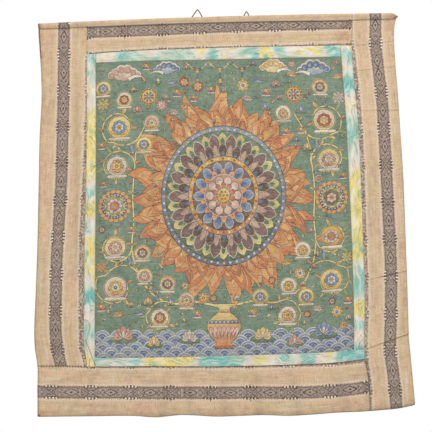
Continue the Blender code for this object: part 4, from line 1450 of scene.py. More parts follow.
cloudColours = {
    # body, its lower side, curl
    "rosy": ("rose", "white", "flesh"), "slate": ("sky", "mist", "slate"),
    "golden": ("apricot", "straw", "orange"), "blue": ("sky", "white", "slate"),
    "sunny": ("straw", "white", "apricot"),
}


def cloud(at, size, kind, flip=1):
    lobes = ((-1.25, -0.12, 0.36), (-0.82, 0.1, 0.46), (-0.3, 0.34, 0.5), (0.3, 0.3, 0.54),
             (0.82, 0.02, 0.48), (1.28, -0.2, 0.34), (0.0, -0.12, 0.62), (-0.5, -0.2, 0.44),
             (0.55, -0.28, 0.42))
    base, rim, curl = cloudColours[kind]
    lobes = [(off(at, flip * x, y, size), r * size) for x, y, r in lobes]
    for spot, radius in lobes:
        disc(spot, radius + 1.0, "ink")
    for spot, radius in lobes:
        disc(spot, radius, base, rim)
    for spot, radius in lobes[:6]:
        disc(spot, radius * 0.62, curl, line=0.6)
        disc(off(spot, flip * 0.14, -0.1, radius), radius * 0.34, base, line=0.5)
    tail = [off(at, flip * t, -0.45 - 0.16 * sin(4 * t), size) for t in (0.4, 0.9, 1.4, 2.0)]
    stem(smoothPath(tail, 4.0), size * 0.34, 1.0, rim)
    taken.extend((at[0] + flip * x * size, at[1], size * 0.85) for x in (-0.8, 0.0, 0.8))


def lotus(at, size, colour):
    # a lotus seen from the side, on its pad
    pad = [(x * 1.35, y * 0.34) for x, y in discShape(size)]
    brush(pad, "deep", "leaf", (at[0], at[1] - size * 0.15), line=0.9)
    for angle in (80, -80, 54, -54, 28, -28, 0):
        length = size * (1.25 - 0.004 * abs(angle))
        petal(at, radians(angle), length, size * 0.62, colour, tips[colour], 0.62, 0.0, 0.9, heart="white")
    taken.append((at[0], at[1] + size * 0.4, size * 1.2))


def jewel(at, size):
    # three jewels in a flame of leaves
    for angle in (-60, -30, 0, 30, 60):
        petal(at, radians(angle), size * 1.5, size * 0.5, "brick", "yellow", 0.4, bend=angle * 0.01 * size)
    for x, y, colour, tip in ((-0.42, 0.0, "blue", "sky"), (0.42, 0.0, "red", "rose"),
                              (0.0, 0.42, "orange", "straw")):
        petal(off(at, x, y, size), 0.0, size * 0.85, size * 0.72, colour, tip, 0.42)
    dish = [(x * size, y * size * 0.22) for x, y in ((-1, 0.6), (-0.7, -0.8), (0.7, -0.8), (1, 0.6))]
    brush(dish, "cream", "rose", (at[0], at[1] - size * 0.12), line=0.8)
    taken.append((at[0], at[1] + size * 0.5, size * 1.2))


def wheel(at, radius):
    disc(at, radius, "orange", "yellow", 1.0)
    disc(at, radius * 0.74, "blue", "slate", 0.7)
    for i in range(8):
        petal(at, i * pi / 4, radius * 0.98, radius * 0.2, "yellow", "straw", 0.7, line=0.5)
    disc(at, radius * 0.26, "red", "rose", 0.6)
    disc(at, radius * 0.1, "straw")
    petalRing(at, 16, radius, radius * 1.28, radius * 0.3, "brick", "yellow", line=0.6)
    taken.append((*at, radius * 1.35))


def knot(at, size, colour, tip):
    # strands laid over each other, set on a corner
    petalRing(at, 4, size * 0.7, size * 1.45, size * 0.7, colour, tip, pi / 4, line=0.7)
    strands = [(-0.75 + 0.5 * k, -0.75 - 0.5 * k, 0.75 + 0.5 * k, 0.75 - 0.5 * k) for k in (-1, 0, 1)]
    strands += [(-0.75 - 0.5 * k, 0.75 - 0.5 * k, 0.75 - 0.5 * k, -0.75 - 0.5 * k) for k in (-1, 0, 1)]
    ties = ((0, 0.5), (0.5, 0), (0, -0.5), (-0.5, 0))
    strands += [(x - 0.14, y - 0.14, x + 0.14, y + 0.14) for x, y in ties]
    for x0, y0, x1, y1 in strands:
        path = [off(at, x0, y0, size), off(at, (x0 + x1) / 2, (y0 + y1) / 2, size), off(at, x1, y1, size)]
        stem(path, size * 0.2, size * 0.2, colour, 0.7)
    taken.append((*at, size * 1.3))


def roundel(at, radius, kind):
    # a medallion in a wreath of flame-like leaves
    petalRing(at, 18, radius * 0.8, radius * 1.22, radius * 0.42, "brick", "apricot", bend=radius * 0.08,
              heart="yellow")
    disc(at, radius * 0.92, "blue", "slate", 1.1)
    for spot in ringOf(at, radius * 0.84, 24):
        disc(spot, radius * 0.055, "cream")
    disc(at, radius * 0.76, "straw", "yellow", 0.8)
    petalRing(at, 8, radius * 0.3, radius * 0.74, radius * 0.34, "leaf", "moss", pi / 8, full=0.5)
    blossom(at, radius * 0.58, kind)
    taken.append((*at, radius * 1.25))


def mandala(at):
    # the great lotus in the middle, with its wreath of flame-like leaves
    stretch.update(middle=at[1], tall=1.13)
    kinds = (("red", "orange", "apricot", "straw"), ("brick", "orange", "apricot", "yellow"),
             ("orange", "brick", "apricot", "orange"), ("brick", "apricot", "orange", "straw"))
    wreath = ((25, 146, 226, 36), (27, 144, 212, 34), (28, 142, 196, 31), (30, 138, 182, 27),
              (34, 136, 166, 21))
    for count, inner, outer, width in wreath:
        for i in range(count):
            angle = 2 * pi * (i + unsteady(0.3)) / count + inner
            length = (outer - inner) * (1.0 + unsteady(0.22))
            turn = angle - pi / 2 + unsteady(0.3)
            flame(around(at, inner, angle), turn, length, width * (1 + unsteady(0.16)), anyOf(*kinds))
    disc(at, 151, "ink")
    disc(at, 149.5, "slate", "sky")
    for i, spot in enumerate(ringOf(at, 144, 60)):
        disc(spot, 3.0, "cream" if i % 3 else "yellow", line=0.6)
    disc(at, 139, "deep", "ground", 1.2)
    petalRing(at, 18, 108, 137, 22, "moss", "straw", pi / 18, full=0.5, heart="deep")
    petalRing(at, 18, 74, 134, 25, "brown", "plum", 0.0, full=0.66, line=1.6, ink="cream", heart="flesh")
    petalRing(at, 18, 70, 112, 20, "ink", "brown", pi / 18, full=0.66, line=1.4, ink="flesh", heart="slate")
    disc(at, 84, "orange", "yellow", 1.2)
    for i, spot in enumerate(ringOf(at, 79.5, 36)):
        disc(spot, 2.6, "red" if i % 2 else "white", line=0.5)
    disc(at, 74.5, "brown", "plum", 1.0)
    petalRing(at, 14, 40, 73, 18, "blue", "sky", 0.0, full=0.62, line=1.3, ink="cream", heart="blue")
    petalRing(at, 14, 36, 58, 13, "brick", "apricot", pi / 14, full=0.62, heart="red")
    disc(at, 45, "plum", "flesh", 1.1, "cream")
    petalRing(at, 10, 16, 44, 19, "white", "rose", 0.0, full=0.64, line=1.0, heart="cream")
    petalRing(at, 10, 12, 29, 11, "rose", "red", pi / 10, full=0.64, line=0.8)
    disc(at, 15.5, "yellow", "straw", 1.0)
    for spot in (*ringOf(at, 8.6, 6), at):
        disc(spot, 2.2, "brick", line=0.5)
    stretch.update(middle=0.0, tall=1.0)
    taken.extend((at[0] + 62 * cos(a), at[1] + 74 * sin(a), 158) for a in (0, pi / 2, pi, 1.5 * pi))


def vase(at):
    # stands in the water under the great lotus
    outline = ((18, 0), (24, 4), (16, 12), (30, 26), (40, 46), (38, 62), (24, 76), (13, 84), (12, 94),
               (26, 104))
    shape = list(outline) + [(-x, y) for x, y in outline[::-1]]
    brush(shape, "orange", "straw", at, line=1.5)
    for low, high, colour, fade in ((0, 5, "red", "brick"), (58, 65, "blue", "sky"),
                                    (84, 90, "red", "rose")):
        rows = [(half, y) for half, y in outline if low <= y <= high] or [(13, low), (13, high)]
        width = max(half for half, _ in rows) - 1.5
        brush([(width, low), (width, high), (-width, high), (-width, low)], colour, fade, at, line=0.7)
    for i in range(7):
        x = (i - 3) * 9.6
        petal(off(at, x * 0.75, 20), radians(-i * 7 + 21), 33, 11, "cream", "rose", 0.6, heart="red")
    for i in range(7):
        disc((at[0] + (i - 3) * 9.5, at[1] + 61.5), 2.0, "cream", line=0.4)
    taken.append((at[0], at[1] + 50, 62))


def water(top, rows, count=18):
    # scales of water, row over row, only their upper halves drawn
    spacing = 2 * picture["halfWidth"] / (count - 1)
    scale = ((20.0, "mist", "cream"), (18.2, "slate", "sky"), (13.4, "mist", "cream"),
             (11.8, "blue", "slate"), (7.2, "mist", "sky"), (5.4, "slate", "blue"))
    for row in range(rows):
        for i in range(count + row % 2):
            at = (-picture["halfWidth"] + (i - 0.5 * (row % 2)) * spacing, top - row * 13.5 - 16)
            for radius, colour, tip in scale:
                steps = int(5 + radius * 0.4)
                arc = [radians(-12 + 204 * k / steps) for k in range(steps + 1)]
                brush([(radius * cos(a), radius * sin(a)) for a in arc], colour, tip, at)


def garland(left, width, sag, drop):
    # strings of jewels slung between two points, with a pendant
    right = (left[0] + width, left[1])
    middle = (left[0] + width / 2, left[1] - sag)
    path = smoothPath([left, (between(left[0], middle[0], 0.5), between(left[1], middle[1], 0.78)), middle,
                       (between(middle[0], right[0], 0.5), between(middle[1], right[1], 0.22)), right], 7.0)
    stem(path, 2.2, 2.2, "straw", 0.8)
    for i, spot in enumerate(path[1:-1]):
        if i % 2 == 0:
            disc(spot, 3.0, ("cream", "red", "blue")[i // 2 % 3], line=0.7)
    for i in range(3):
        spot = (middle[0], middle[1] - 5 - drop * i / 3)
        disc(spot, 3.4 - 0.5 * i, ("yellow", "blue", "red")[i], line=0.7)
    petal((middle[0], middle[1] - drop - 16), 0.0, 15, 9, "orange", "straw", 0.35)
    taken.append((middle[0], middle[1] - drop / 2, 20))


def dots(at, size):
    for i in range(3):
        spot = around(at, 0.5 * size, 2 * pi * i / 3 + unsteady(0.3))
        disc(spot, size * 0.36, anyOf("cream", "orange", "slate", "red"), line=0.8)


fillers = {
    "medallion": lambda at, size: medallion(at, size * 0.84, anyOf(*sorted(blossoms))),
    "spray": lambda at, size: spray(at, unsteady(0.6), size, anyOf(*tips)),
    "lotus": lambda at, size: lotus(off(at, 0, -0.4, size), size * 0.85, anyOf(*tips)),
    "jewel": lambda at, size: jewel(off(at, 0, -0.5, size), size * 0.75),
    "cloud": lambda at, size: cloud(at, size * 0.62, anyOf("rosy", "slate", "golden"), anyOf(-1, 1)),
    "blossom": lambda at, size: blossom(at, size, anyOf(*sorted(blossoms)), hand.uniform(0, 1)),
    "tuft": lambda at, size: tuft(at, size * 1.7),
    "dots": dots,
}


def fillGaps(kinds, count, size, margin, low=-300):
    # motifs where nothing is painted yet
    spots = 0
    for _ in range(count * 70):
        if spots == count:
            return
        spot = (hand.uniform(-297, 294), hand.uniform(low, 346))
        if all(hypot(spot[0] - u, spot[1] - v) > radius + size + margin for u, v, radius in taken):
            fillers[anyOf(*kinds)](spot, size)
            taken.append((*spot, size))
            spots += 1


def paintPicture():
    limitU = picture["halfWidth"] - picture["ground"]
    limitV = picture["halfHeight"] - picture["ground"]
    brush([(limitU, -limitV), (limitU, limitV), (-limitU, limitV), (-limitU, -limitV)], "ground", "ground")

    # stems rise from the vase on both sides
    for side in (-1, 1):
        path = [(side * u, v) for u, v in (
            (12, -244), (70, -232), (128, -236), (178, -206), (209, -150), (219, -96), (216, -40),
            (219, 30), (214, 104), (206, 160), (178, 218))]
        stem(smoothPath(path, 6.0), 5.0, 2.6, "straw", 1.1)
        for i, (u, v) in enumerate(path[1:-1]):
            along = atan2(path[i + 2][1] - v, path[i + 2][0] - u) - pi / 2
            for turn in (0.8, -0.8):
                leaf((u, v), along + turn, 17 - 0.5 * i, *vineLeaves[(i + (turn > 0)) % len(vineLeaves)],
                     bend=-4 * turn)
    water(-302, 5)
    scrolls = (
        # leaves the stem at u, v; its middle; radius; way; blossom
        (-206, -160, -258, -196, 38, 1, "yellow"), (-219, -96, -259, -98, 36, -1, "pink"),
        (-214, 96, -258, 100, 36, 1, "orange"), (-198, 180, -252, 196, 40, -1, "blue"),
        (206, -160, 254, -188, 37, -1, "blue"), (219, -90, 257, -84, 37, 1, "cream"),
        (214, 92, 256, 104, 37, -1, "pink"), (200, 176, 250, 200, 39, 1, "red"),
        (-128, -236, -152, -270, 30, 1, "red"), (128, -236, 150, -268, 30, -1, "orange"),
    )
    for u, v, middleU, middleV, radius, way, kind in scrolls:
        windingVine((u, v), (middleU, middleV), radius, way, kind)
    mandala((0, 22))
    roundel((-262, 2), 33, "cream")
    roundel((260, 10), 33, "brown")
    vase((0, -342))
    for motif, u, v, size, *look in (
            (lotus, -238, -318, 24, "red"), (lotus, -82, -322, 19, "flesh"),
            (lotus, 92, -320, 21, "orange"), (lotus, 236, -316, 24, "blue"),
            (lotus, -166, -334, 16, "orange"), (lotus, 168, -335, 16, "red"),
            (cloud, -238, 330, 26, "rosy"), (cloud, -132, 338, 21, "blue", -1),
            (cloud, 134, 336, 22, "sunny"), (cloud, 234, 330, 26, "blue", -1),
            (wheel, -178, 268, 17), (wheel, 180, 266, 17), (garland, -84, 352, 56, 20, 22),
            (garland, -28, 352, 56, 20, 22), (garland, 28, 352, 56, 20, 22),
            (blossom, -56, 290, 15, "red"), (blossom, 56, 290, 15, "yellow"),
            (knot, -292, 256, 11, "straw", "yellow"), (knot, 290, 254, 11, "cream", "rose"),
            (knot, -292, -146, 9, "apricot", "orange"), (knot, 292, -136, 9, "straw", "yellow"),
            (jewel, -290, 52, 9), (jewel, 290, 56, 9), (jewel, -108, 268, 12), (jewel, 112, 266, 12),
            (jewel, -292, -250, 11), (jewel, 292, -246, 11), (jewel, -64, -268, 11), (jewel, 66, -266, 11)):
        motif((u, v), size, *look)
    fillGaps(("medallion",), 14, 23.0, 1.0, -240)
    fillGaps(("lotus", "cloud", "jewel", "blossom", "spray", "cloud"), 44, 13.5, 1.0, -270)
    fillGaps(("spray", "blossom", "tuft", "lotus"), 60, 9.0, 0.5)
    fillGaps(("dots", "tuft", "tuft", "spray"), 160, 5.0, 0.0)


def canvasPlace(u, v):
    # from the flat canvas to where it hangs
    across = 0.5 + u / (2 * picture["halfWidth"])
    down = 0.5 - v / (2 * picture["halfHeight"])
    margin = hanging["lap"] + 0.4
    guess = between(edgeAt("leftSeam", "halfWay") + margin, edgeAt("rightSeam", "halfWay") - margin, across)
    z = between(level["topSeam"](guess) - margin, level["bottomSeam"](guess) + margin, down)
    x = between(upright["leftSeam"](z) + margin, upright["rightSeam"](z) - margin, across)
    return x, z


def isInside(points, u, v):
    found = False
    u0, v0 = points[-1]
    for u1, v1 in points:
        if (v0 > v) != (v1 > v) and u < (u1 - u0) * (v - v0) / (v1 - v0) + u0:
            found = not found
        u0, v0 = u1, v1
    return found


def strokeOver(painted, corners):
    # the last painted stroke that covers a triangle's middle
    u, v = sum(corner.x for corner in corners) / 3, sum(corner.y for corner in corners) / 3
    for stroke, (lowU, highU, lowV, highV) in painted:
        if lowU < u < highU and lowV < v < highV and isInside(stroke[0], u, v):
            return stroke


def cutFlat(points, lines, faces, painted):
    # triangles within the first face, each with its stroke
    flat = [Vector(point) for point in points]
    verts, _, triangles, _, _, origins = delaunay_2d_cdt(flat, lines, faces, 1, 1e-5, True)
    return verts, [(triangle, strokeOver(painted, [verts[i] for i in triangle]))
                   for triangle, sources in zip(triangles, origins) if 0 in sources]


def shownLines(verts, triangles, isOuter):
    # neighbours along the strokes' lines that later strokes leave in sight
    sides, near = {}, {}
    for triangle, stroke in triangles:
        for i, j in zip(triangle, triangle[1:] + triangle[:1]):
            sides.setdefault((min(i, j), max(i, j)), []).append(stroke)
    for (i, j), touching in sides.items():
        if len(touching) == 1 or touching[0] is not touching[1]:
            near.setdefault(i, set()).add(j)
            near.setdefault(j, set()).add(i)
    # points that a straight line passes anyway are left out
    for i in sorted(near):
        if len(near[i]) == 2 and not isOuter(*verts[i]):
            j, k = near[i]
            chord = verts[k] - verts[j]
            if k not in near[j] and abs((verts[i] - verts[j]).cross(chord)) < 0.1 * chord.length:
                near[j] = near[j] - {i} | {k}
                near[k] = near[k] - {i} | {j}
                del near[i]
    return near


def paintedCanvas(material):
    # a closed sheet whose face is cut along the strokes, tile by tile, with the top one's colour
    across, down, tile = picture["gridAcross"], picture["gridDown"], picture["tile"]
    halfWidth, halfHeight = picture["halfWidth"], picture["halfHeight"]
    shape, shared = bmesh.new(), []
    paintLayer = shape.loops.layers.float_color.new("paint")
    weaveLayer = shape.loops.layers.uv.new("weave")

    def node(column, row):
        return between(-halfWidth, halfWidth, column / across), between(halfHeight, -halfHeight, row / down)

    def gridPlace(u, v):
        return (u + halfWidth) / (2 * halfWidth) * across, (halfHeight - v) / (2 * halfHeight) * down

    def hangFront(u, v):
        column, row = gridPlace(u, v)
        c, r = min(int(column), across - 1), min(int(row), down - 1)
        upper = hung[c, r][0].lerp(hung[c + 1, r][0], column - c)
        return upper.lerp(hung[c, r + 1][0].lerp(hung[c + 1, r + 1][0], column - c), row - r)

    def addFace(corners, stroke=None):
        for loop in shape.faces.new(corners).loops:
            u, v = loop.vert.co.xy
            colour = picture["pigments"]["canvas"]
            if stroke:
                _, first, last, start, axis = stroke
                share = smoothStep((u - start[0]) * axis.x + (v - start[1]) * axis.y)
                colour = [between(a, b, share) for a, b in zip(first, last)]
            loop[weaveLayer].uv = (u / 100, v / 100)
            loop[paintLayer] = linear(colour)

    def addTile(columns, rows):
        edge = [node(c, rows[-1]) for c in columns] + [node(columns[-1], r) for r in rows[-2:0:-1]]
        edge += [node(c, rows[0]) for c in columns[::-1]] + [node(columns[0], r) for r in rows[1:-1]]
        (left, top), (right, bottom) = node(columns[0], rows[0]), node(columns[-1], rows[-1])

        def isOuter(u, v):
            return min(abs(u - left), abs(u - right), abs(v - top), abs(v - bottom)) < 0.001

        here = [(stroke, box) for stroke, box in zip(strokes, boxes)
                if box[0] < right and box[1] > left and box[2] < top and box[3] > bottom]
        points, faces = list(edge), [list(range(len(edge)))]
        for (outline, *_), _ in here:
            faces.append(list(range(len(points), len(points) + len(outline))))
            points += outline
        here.reverse()
        verts, triangles = cutFlat(points, [], faces, here)
        near = shownLines(verts, triangles, isOuter)
        place = {i: k + len(edge) for k, i in enumerate(near)}
        points = edge + [verts[i] for i in near] + [node(c, r) for r in rows[1:-1] for c in columns[1:-1]]
        lines = [(place[i], place[j]) for i in near for j in near[i] if i < j]
        verts, triangles = cutFlat(points, lines, faces[:1], here)
        made = {}
        for triangle, stroke in triangles:
            for i in triangle:
                if i not in made:
                    made[i] = shape.verts.new((*verts[i], 0.0))
                    if isOuter(*verts[i]):
                        shared.append(made[i])
            addFace([made[i] for i in triangle], stroke)

    hung = {}
    for row in range(down + 1):
        for column in range(across + 1):
            x, z = canvasPlace(*node(column, row))
            hung[column, row] = (clothPoint(x, z, picture["front"]), clothPoint(x, z, picture["back"]))
    boxes = []
    for outline, *_ in strokes:
        us, vs = zip(*outline)
        boxes.append((min(us), max(us), min(vs), max(vs)))
    for firstRow in range(0, down, tile):
        for firstColumn in range(0, across, tile):
            addTile(range(firstColumn, firstColumn + tile + 1), range(firstRow, firstRow + tile + 1))
    bmesh.ops.remove_doubles(shape, verts=shared, dist=0.002)
    print("picture cut into", len(shape.faces), "faces")

    fronts, rim = list(shape.verts), {}
    for vert in fronts:
        u, v = vert.co.xy
        if abs(abs(u) - halfWidth) < 0.01 or abs(abs(v) - halfHeight) < 0.01:
            column, row = gridPlace(u, v)
            rim[round(column), round(row)] = vert
    backs = {place: shape.verts.new((*node(*place), 0.0)) for place in hung}
    for r in range(down):
        for c in range(across):
            addFace([backs[place] for place in ((c, r), (c + 1, r), (c + 1, r + 1), (c, r + 1))])
    ring = [(c, 0) for c in range(across)] + [(across, r) for r in range(down)]
    ring += [(c, down) for c in range(across, 0, -1)] + [(0, r) for r in range(down, 0, -1)]
    for near, far in zip(ring, ring[1:] + ring[:1]):
        addFace([rim[near], rim[far], backs[far], backs[near]])
    for vert in fronts:
        vert.co = hangFront(*vert.co.xy) * mm
    for place, vert in backs.items():
        vert.co = hung[place][1] * mm
    return shapeObject("paintedCanvas", shape, material)


def paintedFinish():
    finish = Finish("painted canvas", 0.88, sheen=0.05, specular=0.2)
    paint = finish.new("Attribute", attribute_name="paint").outputs["Color"]
    along, across, _ = finish.uv("weave")
    place = finish.joined(along, across, 0.0)
    mottle = finish.noise(place, 5.0, 0.62, scale=1.9)
    spots = finish.noise(place, 4.0, 0.65, scale=7.5)
    grit = finish.noise(place, 3.0, 0.65, scale=26.0)
    fine = finish.noise(place, 2.0, 0.6, scale=70.0)
    # cracked and rubbed in fine lines where it was rolled, and flecked all over
    wavy = across + (mottle - 0.5) * 0.12
    cracks = finish.noise((along * 2.2, wavy * 34.0, 0.0), 3.0, 0.6)
    worn = finish.noise(place, 3.0, 0.6, scale=3.2).ramp(0.44, 0.62)
    grain = finish.speck(along.stepped(0.034), across.stepped(0.018), 0.0)
    flecks = finish.noise(place, 3.0, 0.7, scale=16.0).ramp(0.6, 0.7) * spots.ramp(0.4, 0.6)
    # soiled along the silk
    rim = along.size().ramp(2.86, 3.1).higher(across.size().ramp(3.4, 3.66))
    # a light upright crease down the middle, where the canvas was once folded
    fold = (along - 0.12 + (mottle - 0.5) * 0.03).size().ramp(0.013, 0.0) * worn.ramp(0.0, 0.7)
    colour = finish.coats(
        paint,
        (grit.ramp(0.3, 0.75) * 0.34, (150, 138, 118)),
        ((mottle * 0.6 + spots * 0.4).ramp(0.5, 0.36) * 0.34, (76, 84, 70)),
        ((mottle * 0.5 + spots * 0.5).ramp(0.5, 0.68) * 0.4, (172, 172, 148)),
        (grain.ramp(0.6, 1.0) * 0.2, (196, 186, 160)),
        (grain.ramp(0.4, 0.0) * 0.26, (84, 78, 66)),
        (cracks.ramp(0.58, 0.68) * worn * 0.5, (206, 194, 168)),
        (cracks.ramp(0.42, 0.33) * 0.42, (74, 66, 56)),
        (flecks * 0.5, (214, 200, 174)),
        (fine.ramp(0.56, 0.7) * 0.3, (66, 58, 50)),
        (rim * spots.ramp(0.3, 0.7) * 0.4, (92, 80, 62)),
        (fold * 0.5, (212, 200, 176)))
    height = fine * 0.5 + grit * 0.5 - cracks.ramp(0.42, 0.33) * 0.4
    return finish.finish(colour, height, 0.3)


paintPicture()
print("picture drawn in", len(strokes), "strokes")
canvas = paintedCanvas(paintedFinish())
addCloth(canvas, "painted_canvas", "painting", 656, 762, 0.4925, [topCloth])


def addTube(shape, path, radius, sides):
    # a closed round tube along a path, made in a bmesh
    rings = []
    aside = (path[1] - path[0]).orthogonal()
    for i, point in enumerate(path):
        ahead = (path[min(i + 1, len(path) - 1)] - path[max(i - 1, 0)]).normalized()
        aside = (aside - ahead * aside.dot(ahead)).normalized()
        over = ahead.cross(aside)
        turns = [2 * pi * k / sides for k in range(sides)]
        rings.append([shape.verts.new((point + radius * (aside * cos(turn) + over * sin(turn))) * mm)
                      for turn in turns])
    for near, far in zip(rings, rings[1:]):
        for k in range(sides):
            shape.faces.new((near[k], near[(k + 1) % sides], far[(k + 1) % sides], far[k]))
    shape.faces.new(rings[0][::-1])
    shape.faces.new(rings[-1])


def tubePiece(name, tubes, radius, sides, material):
    shape = bmesh.new()
    for path in tubes:
        addTube(shape, path, radius, sides)
    return shapeObject(name, shape, material)


# the hanging loops of twisted string, and the stitches

loopShape = {
    "ply": 0.95,            # radius of each of the two plies
    "apart": 0.75,          # and how far each lies from the string's middle
    "twist": 7.5,           # length of one turn
    "step": 0.9,
    "sides": 8,
    "sleeveTop": 5.7,       # top of the sleeve above the rod's axis
    "footDrop": 5.0,
    "shoulder": 0.9,
    "bindings": (-3.4, -2.2, -0.9, 0.4, 1.6),   # heights of the thread's turns over a foot
    "bindingHalf": 1.9,
    "bindingOut": 1.75,
    "bindingEnd": -3.0,     # where its ends go in behind the rod
    "bindingThread": 0.42,
    # name, node, left foot, top x and z, right foot, half-width of the bend over the hook
    "loops": (
        ("leftLoop", "loop_left", -75.0, -60.0, 5.4, -48.2, 3.4),
        ("rightLoop", "loop_right", 53.6, 60.2, -2.7, 66.2, 2.6),
    ),
}


def loopPath(leftFoot, topX, topZ, rightFoot, bend):
    footZ, sleeveTop = rodZ(topX) - loopShape["footDrop"], rodZ(topX) + loopShape["sleeveTop"]
    shoulderZ = topZ - bend * loopShape["shoulder"]
    guide = ((leftFoot, footZ), (leftFoot, sleeveTop), (topX - bend, shoulderZ), (topX, topZ),
             (topX + bend, shoulderZ), (rightFoot, sleeveTop), (rightFoot, footZ))
    return [Vector((x, 0.0, z)) for x, z in smoothPath(guide, loopShape["step"])]


def twistedLoop(name, material, *places):
    path = loopPath(*places)
    plies = ([], [])
    run = 0.0
    for i, point in enumerate(path):
        run += (point - path[max(i - 1, 0)]).length
        ahead = (path[min(i + 1, len(path) - 1)] - path[max(i - 1, 0)]).normalized()
        aside = ahead.cross(Vector((0, 1, 0))).normalized()
        for ply, start in zip(plies, (0.0, pi)):
            angle = start + 2 * pi * run / loopShape["twist"]
            shift = aside * cos(angle) + Vector((0, 1, 0)) * sin(angle)
            ply.append(point + shift * loopShape["apart"])
    return tubePiece(name, plies, loopShape["ply"], loopShape["sides"], material)


def threadFinish(name, colour):
    finish = Finish(name, 0.85, sheen=0.15, specular=0.2)
    x, y, z = finish.objectPlace()
    fuzz = finish.noise((x * 900.0, y * 900.0, z * 900.0), 2.0)
    wear = finish.noise((x * 90.0, y * 90.0, z * 90.0), 2.0)
    worn = [between(channel, 150, 0.3) for channel in colour]
    tone = finish.ramp((fuzz * 0.5 + wear * 0.5).ramp(0.3, 0.7), ((0.0, colour), (1.0, worn)))
    return finish.finish(tone, fuzz, 0.2)


threads = {
    "dark": (74, 56, 46),
    "brown": (112, 84, 62),
    "maroon": (104, 52, 46),
    "pale": (198, 172, 136),
    "string": (128, 114, 96),
    "lift": 0.34,           # how far a stitch stands off the cloth at its middle
    "sink": 0.5,            # and how deep its ends go in
    "unevenness": 0.16,
}


def stitchRow(curve, start, end, shift, pitch, size, slant, offset, endOffset=None):
    # a row of (start, end) along a level curve, or down an upright one, where end is less than start;
    # a stitch runs along the line at slant 0 and across it at slant 1
    rows = []
    length = abs(end - start)
    count = max(1, int(length / pitch))
    endOffset = offset if endOffset is None else endOffset

    def lineAt(share):
        place = between(start, end, share)
        aside = curve(place) + shift
        return (place, aside) if end > start else (aside, place)

    for i in range(count):
        share = (i + 0.5 + unsteady(threads["unevenness"])) / count
        x, z = lineAt(share)
        nextX, nextZ = lineAt(share + 1.0 / length)
        alongX, alongZ = nextX - x, nextZ - z
        lean = slant + unsteady(0.07)
        halfX = (alongX * (1 - abs(lean)) - alongZ * lean) * size / 2
        halfZ = (alongZ * (1 - abs(lean)) + alongX * lean) * size / 2
        rows.append((clothPoint(x - halfX, z - halfZ, offset), clothPoint(x + halfX, z + halfZ, endOffset)))
    return rows


def stitches(name, rows, thickness, material):
    paths = []
    for start, end in rows:
        path = []
        for share in (0.0, 0.18, 0.5, 0.82, 1.0):
            point = start.lerp(end, share)
            rise = threads["sink"] if share in (0.0, 1.0) else -threads["lift"] * sin(pi * share)
            path.append(point + Vector((0.0, rise, 0.0)))
        paths.append(path)
    return tubePiece(name, paths, thickness / 2, 5, material)


def sewnStitches():
    front, silkFront = -mount["half"] - 0.15, silk["front"] - 0.1
    hemIn = mount["hemWidth"] - 1.2
    # round the silk: line, from, to, way
    silkEdges = ((upright["leftSeam"], -103, -852, 1), (upright["rightSeam"], -99, -855, -1),
                 (upright["pictureLeft"], -124, -832, -1), (upright["pictureRight"], -126, -832, 1),
                 (level["topSeam"], -305, 282, -1), (level["pictureTop"], -305, 284, 1),
                 (level["pictureBottom"], -322, 288, -1), (level["bottomSeam"], -324, 308, 1))
    # thread and its thickness, and what stitchRow asks for each row
    sewn = {
        "sleeveStitches": ("brown", 0.9, [(sleeveFoot, -444, 426, -1.0, 5.6, 4.0, 0.0, front)]),
        "seamStitches": ("maroon", 1.2, [
            (level["topSeam"], -328, 312, 0.9, 5.2, 3.6, 0.0, front),
            (level["bottomSeam"], -340, 310, -0.9, 5.2, 3.4, 0.0, front),
            (level["bottomSeam"], -457, -347, 0.6, 6.7, 5.2, 0.95, front - 0.2),
            (upright["rightSeam"], -857, -966, 0.7, 5.0, 3.4, 0.0, front)]),
        "edgeStitches": ("dark", 1.5, [(upright["leftEdge"], -32, -106, 1.8, 5.4, 5.6, 0.12, front - 0.3)]),
        "fineStitches": ("pale", 0.6, [
            *[(curve, start, end, 0.5 * way, 7.2, 2.6, 0.8 * way, front - 0.35, silkFront)
              for curve, start, end, way in silkEdges],
            (upright["leftEdge"], -110, -955, hemIn, 9.0, 2.6, 0.35, front),
            (upright["rightEdge"], -40, -955, -hemIn, 9.0, 2.6, 0.35, front),
            (hem, -450, 412, hemIn, 9.0, 2.6, 0.35, front),
            (upright["leftSeam"], -40, -98, -0.8, 6.0, 3.0, 0.2, front),
            (upright["rightSeam"], -40, -96, 0.8, 6.0, 3.0, 0.2, front)]),
    }
    for name, (thread, thickness, lines) in sewn.items():
        rows = [stitch for line in lines for stitch in stitchRow(*line)]
        material = threadFinish(thread + " thread", threads[thread])
        addTo(stitches(name, rows, thickness, material), "loop_string")


def loopBindings(material):
    # thread over the loops' feet, into the sleeve behind the rod
    paths = []
    for _, _, leftFoot, topX, _, rightFoot, _ in loopShape["loops"]:
        for foot in (leftFoot, rightFoot):
            for height in loopShape["bindings"]:
                z = rodZ(topX) + height + unsteady(0.2)
                path = []
                for step in range(9):
                    side, out = cos(pi * step / 8), sin(pi * step / 8)
                    path.append(Vector((foot - loopShape["bindingHalf"] * side,
                                        loopShape["bindingOut"] * out**0.6 - 0.1, z + 0.2 * side)))
                path[0].y = path[-1].y = loopShape["bindingEnd"]
                paths.append(path)
    return tubePiece("loopBindings", paths, loopShape["bindingThread"], 6, material)


string = threadFinish("twisted string", threads["string"])
for name, node, *places in loopShape["loops"]:
    addTo(twistedLoop(name, string, *places), "loop_string", node)
addTo(loopBindings(threadFinish("binding thread", threads["pale"])), "loop_string")
sewnStitches()
print("loops and stitches in place")

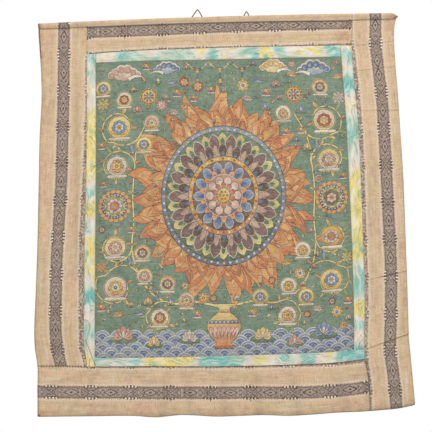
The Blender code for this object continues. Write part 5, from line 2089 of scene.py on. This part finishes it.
stage = {
    "floorZ": -1600.0,
    "floorRadius": 3300.0,
    "target": (-29.0, -7.4, -505.0),
    "distance": 2100.0,
    "elevation": -5.0,
    "roll": 1.65,           # the scroll hangs a little turned in the view
    "lens": 72.9,
    "light": 0.66,
    "seenLight": 1.0,
    # place in metres, size and power
    "lamps": (((1.1, -1.9, 1.5), 1.0, 28.0), ((-1.8, -2.2, 0.4), 1.6, 11.0)),
    "lampsAim": (0.0, 0.0, -0.45),
}


def setStage():
    bpy.ops.mesh.primitive_circle_add(vertices=96, radius=stage["floorRadius"] * mm, fill_type="NGON",
                                      location=(0, 0, stage["floorZ"] * mm))
    floor = bpy.context.object
    floor.name = "floor"
    bpy.ops.object.transform_apply(location=True)
    floorMaterial = Finish("pale floor", 0.9, specular=0.1)
    floorMaterial.shader.inputs["Base Color"].default_value = (0.86, 0.86, 0.85, 1.0)
    floor.data.materials.append(floorMaterial.material)

    tilt, roll = radians(stage["elevation"]), radians(stage["roll"])
    look = Vector((0.0, cos(tilt), -sin(tilt)))
    up, right = Vector((0.0, sin(tilt), cos(tilt))), Vector((1.0, 0.0, 0.0))
    bpy.ops.object.camera_add(location=(Vector(stage["target"]) - look * stage["distance"]) * mm)
    camera = bpy.context.object
    camera.data.lens = stage["lens"]
    camera.data.sensor_width = 36.0
    axes = Matrix((right * cos(roll) - up * sin(roll), right * sin(roll) + up * cos(roll), -look))
    camera.rotation_euler = axes.transposed().to_euler()
    bpy.context.scene.camera = camera


def setLight():
    world = bpy.data.worlds.new("soft room")
    bpy.context.scene.world = world
    world.use_nodes = True
    tree = world.node_tree
    light, seen = tree.nodes["Background"], tree.nodes.new("ShaderNodeBackground")
    for background, strength in ((light, stage["light"]), (seen, stage["seenLight"])):
        background.inputs["Color"].default_value = (1.0, 1.0, 1.0, 1.0)
        background.inputs["Strength"].default_value = strength
    path = tree.nodes.new("ShaderNodeLightPath")
    mix = tree.nodes.new("ShaderNodeMixShader")
    tree.links.new(path.outputs["Is Camera Ray"], mix.inputs["Fac"])
    tree.links.new(light.outputs["Background"], mix.inputs[1])
    tree.links.new(seen.outputs["Background"], mix.inputs[2])
    tree.links.new(mix.outputs["Shader"], tree.nodes["World Output"].inputs["Surface"])
    for place, size, power in stage["lamps"]:
        bpy.ops.object.light_add(type="AREA", location=place)
        lamp = bpy.context.object
        lamp.data.size = size
        lamp.data.energy = power
        aim = Vector(stage["lampsAim"]) - Vector(place)
        lamp.rotation_euler = aim.to_track_quat("-Z", "Y").to_euler()


setStage()
setLight()
bpy.context.scene.view_settings.view_transform = "Standard"
print("stage, camera and lights set")
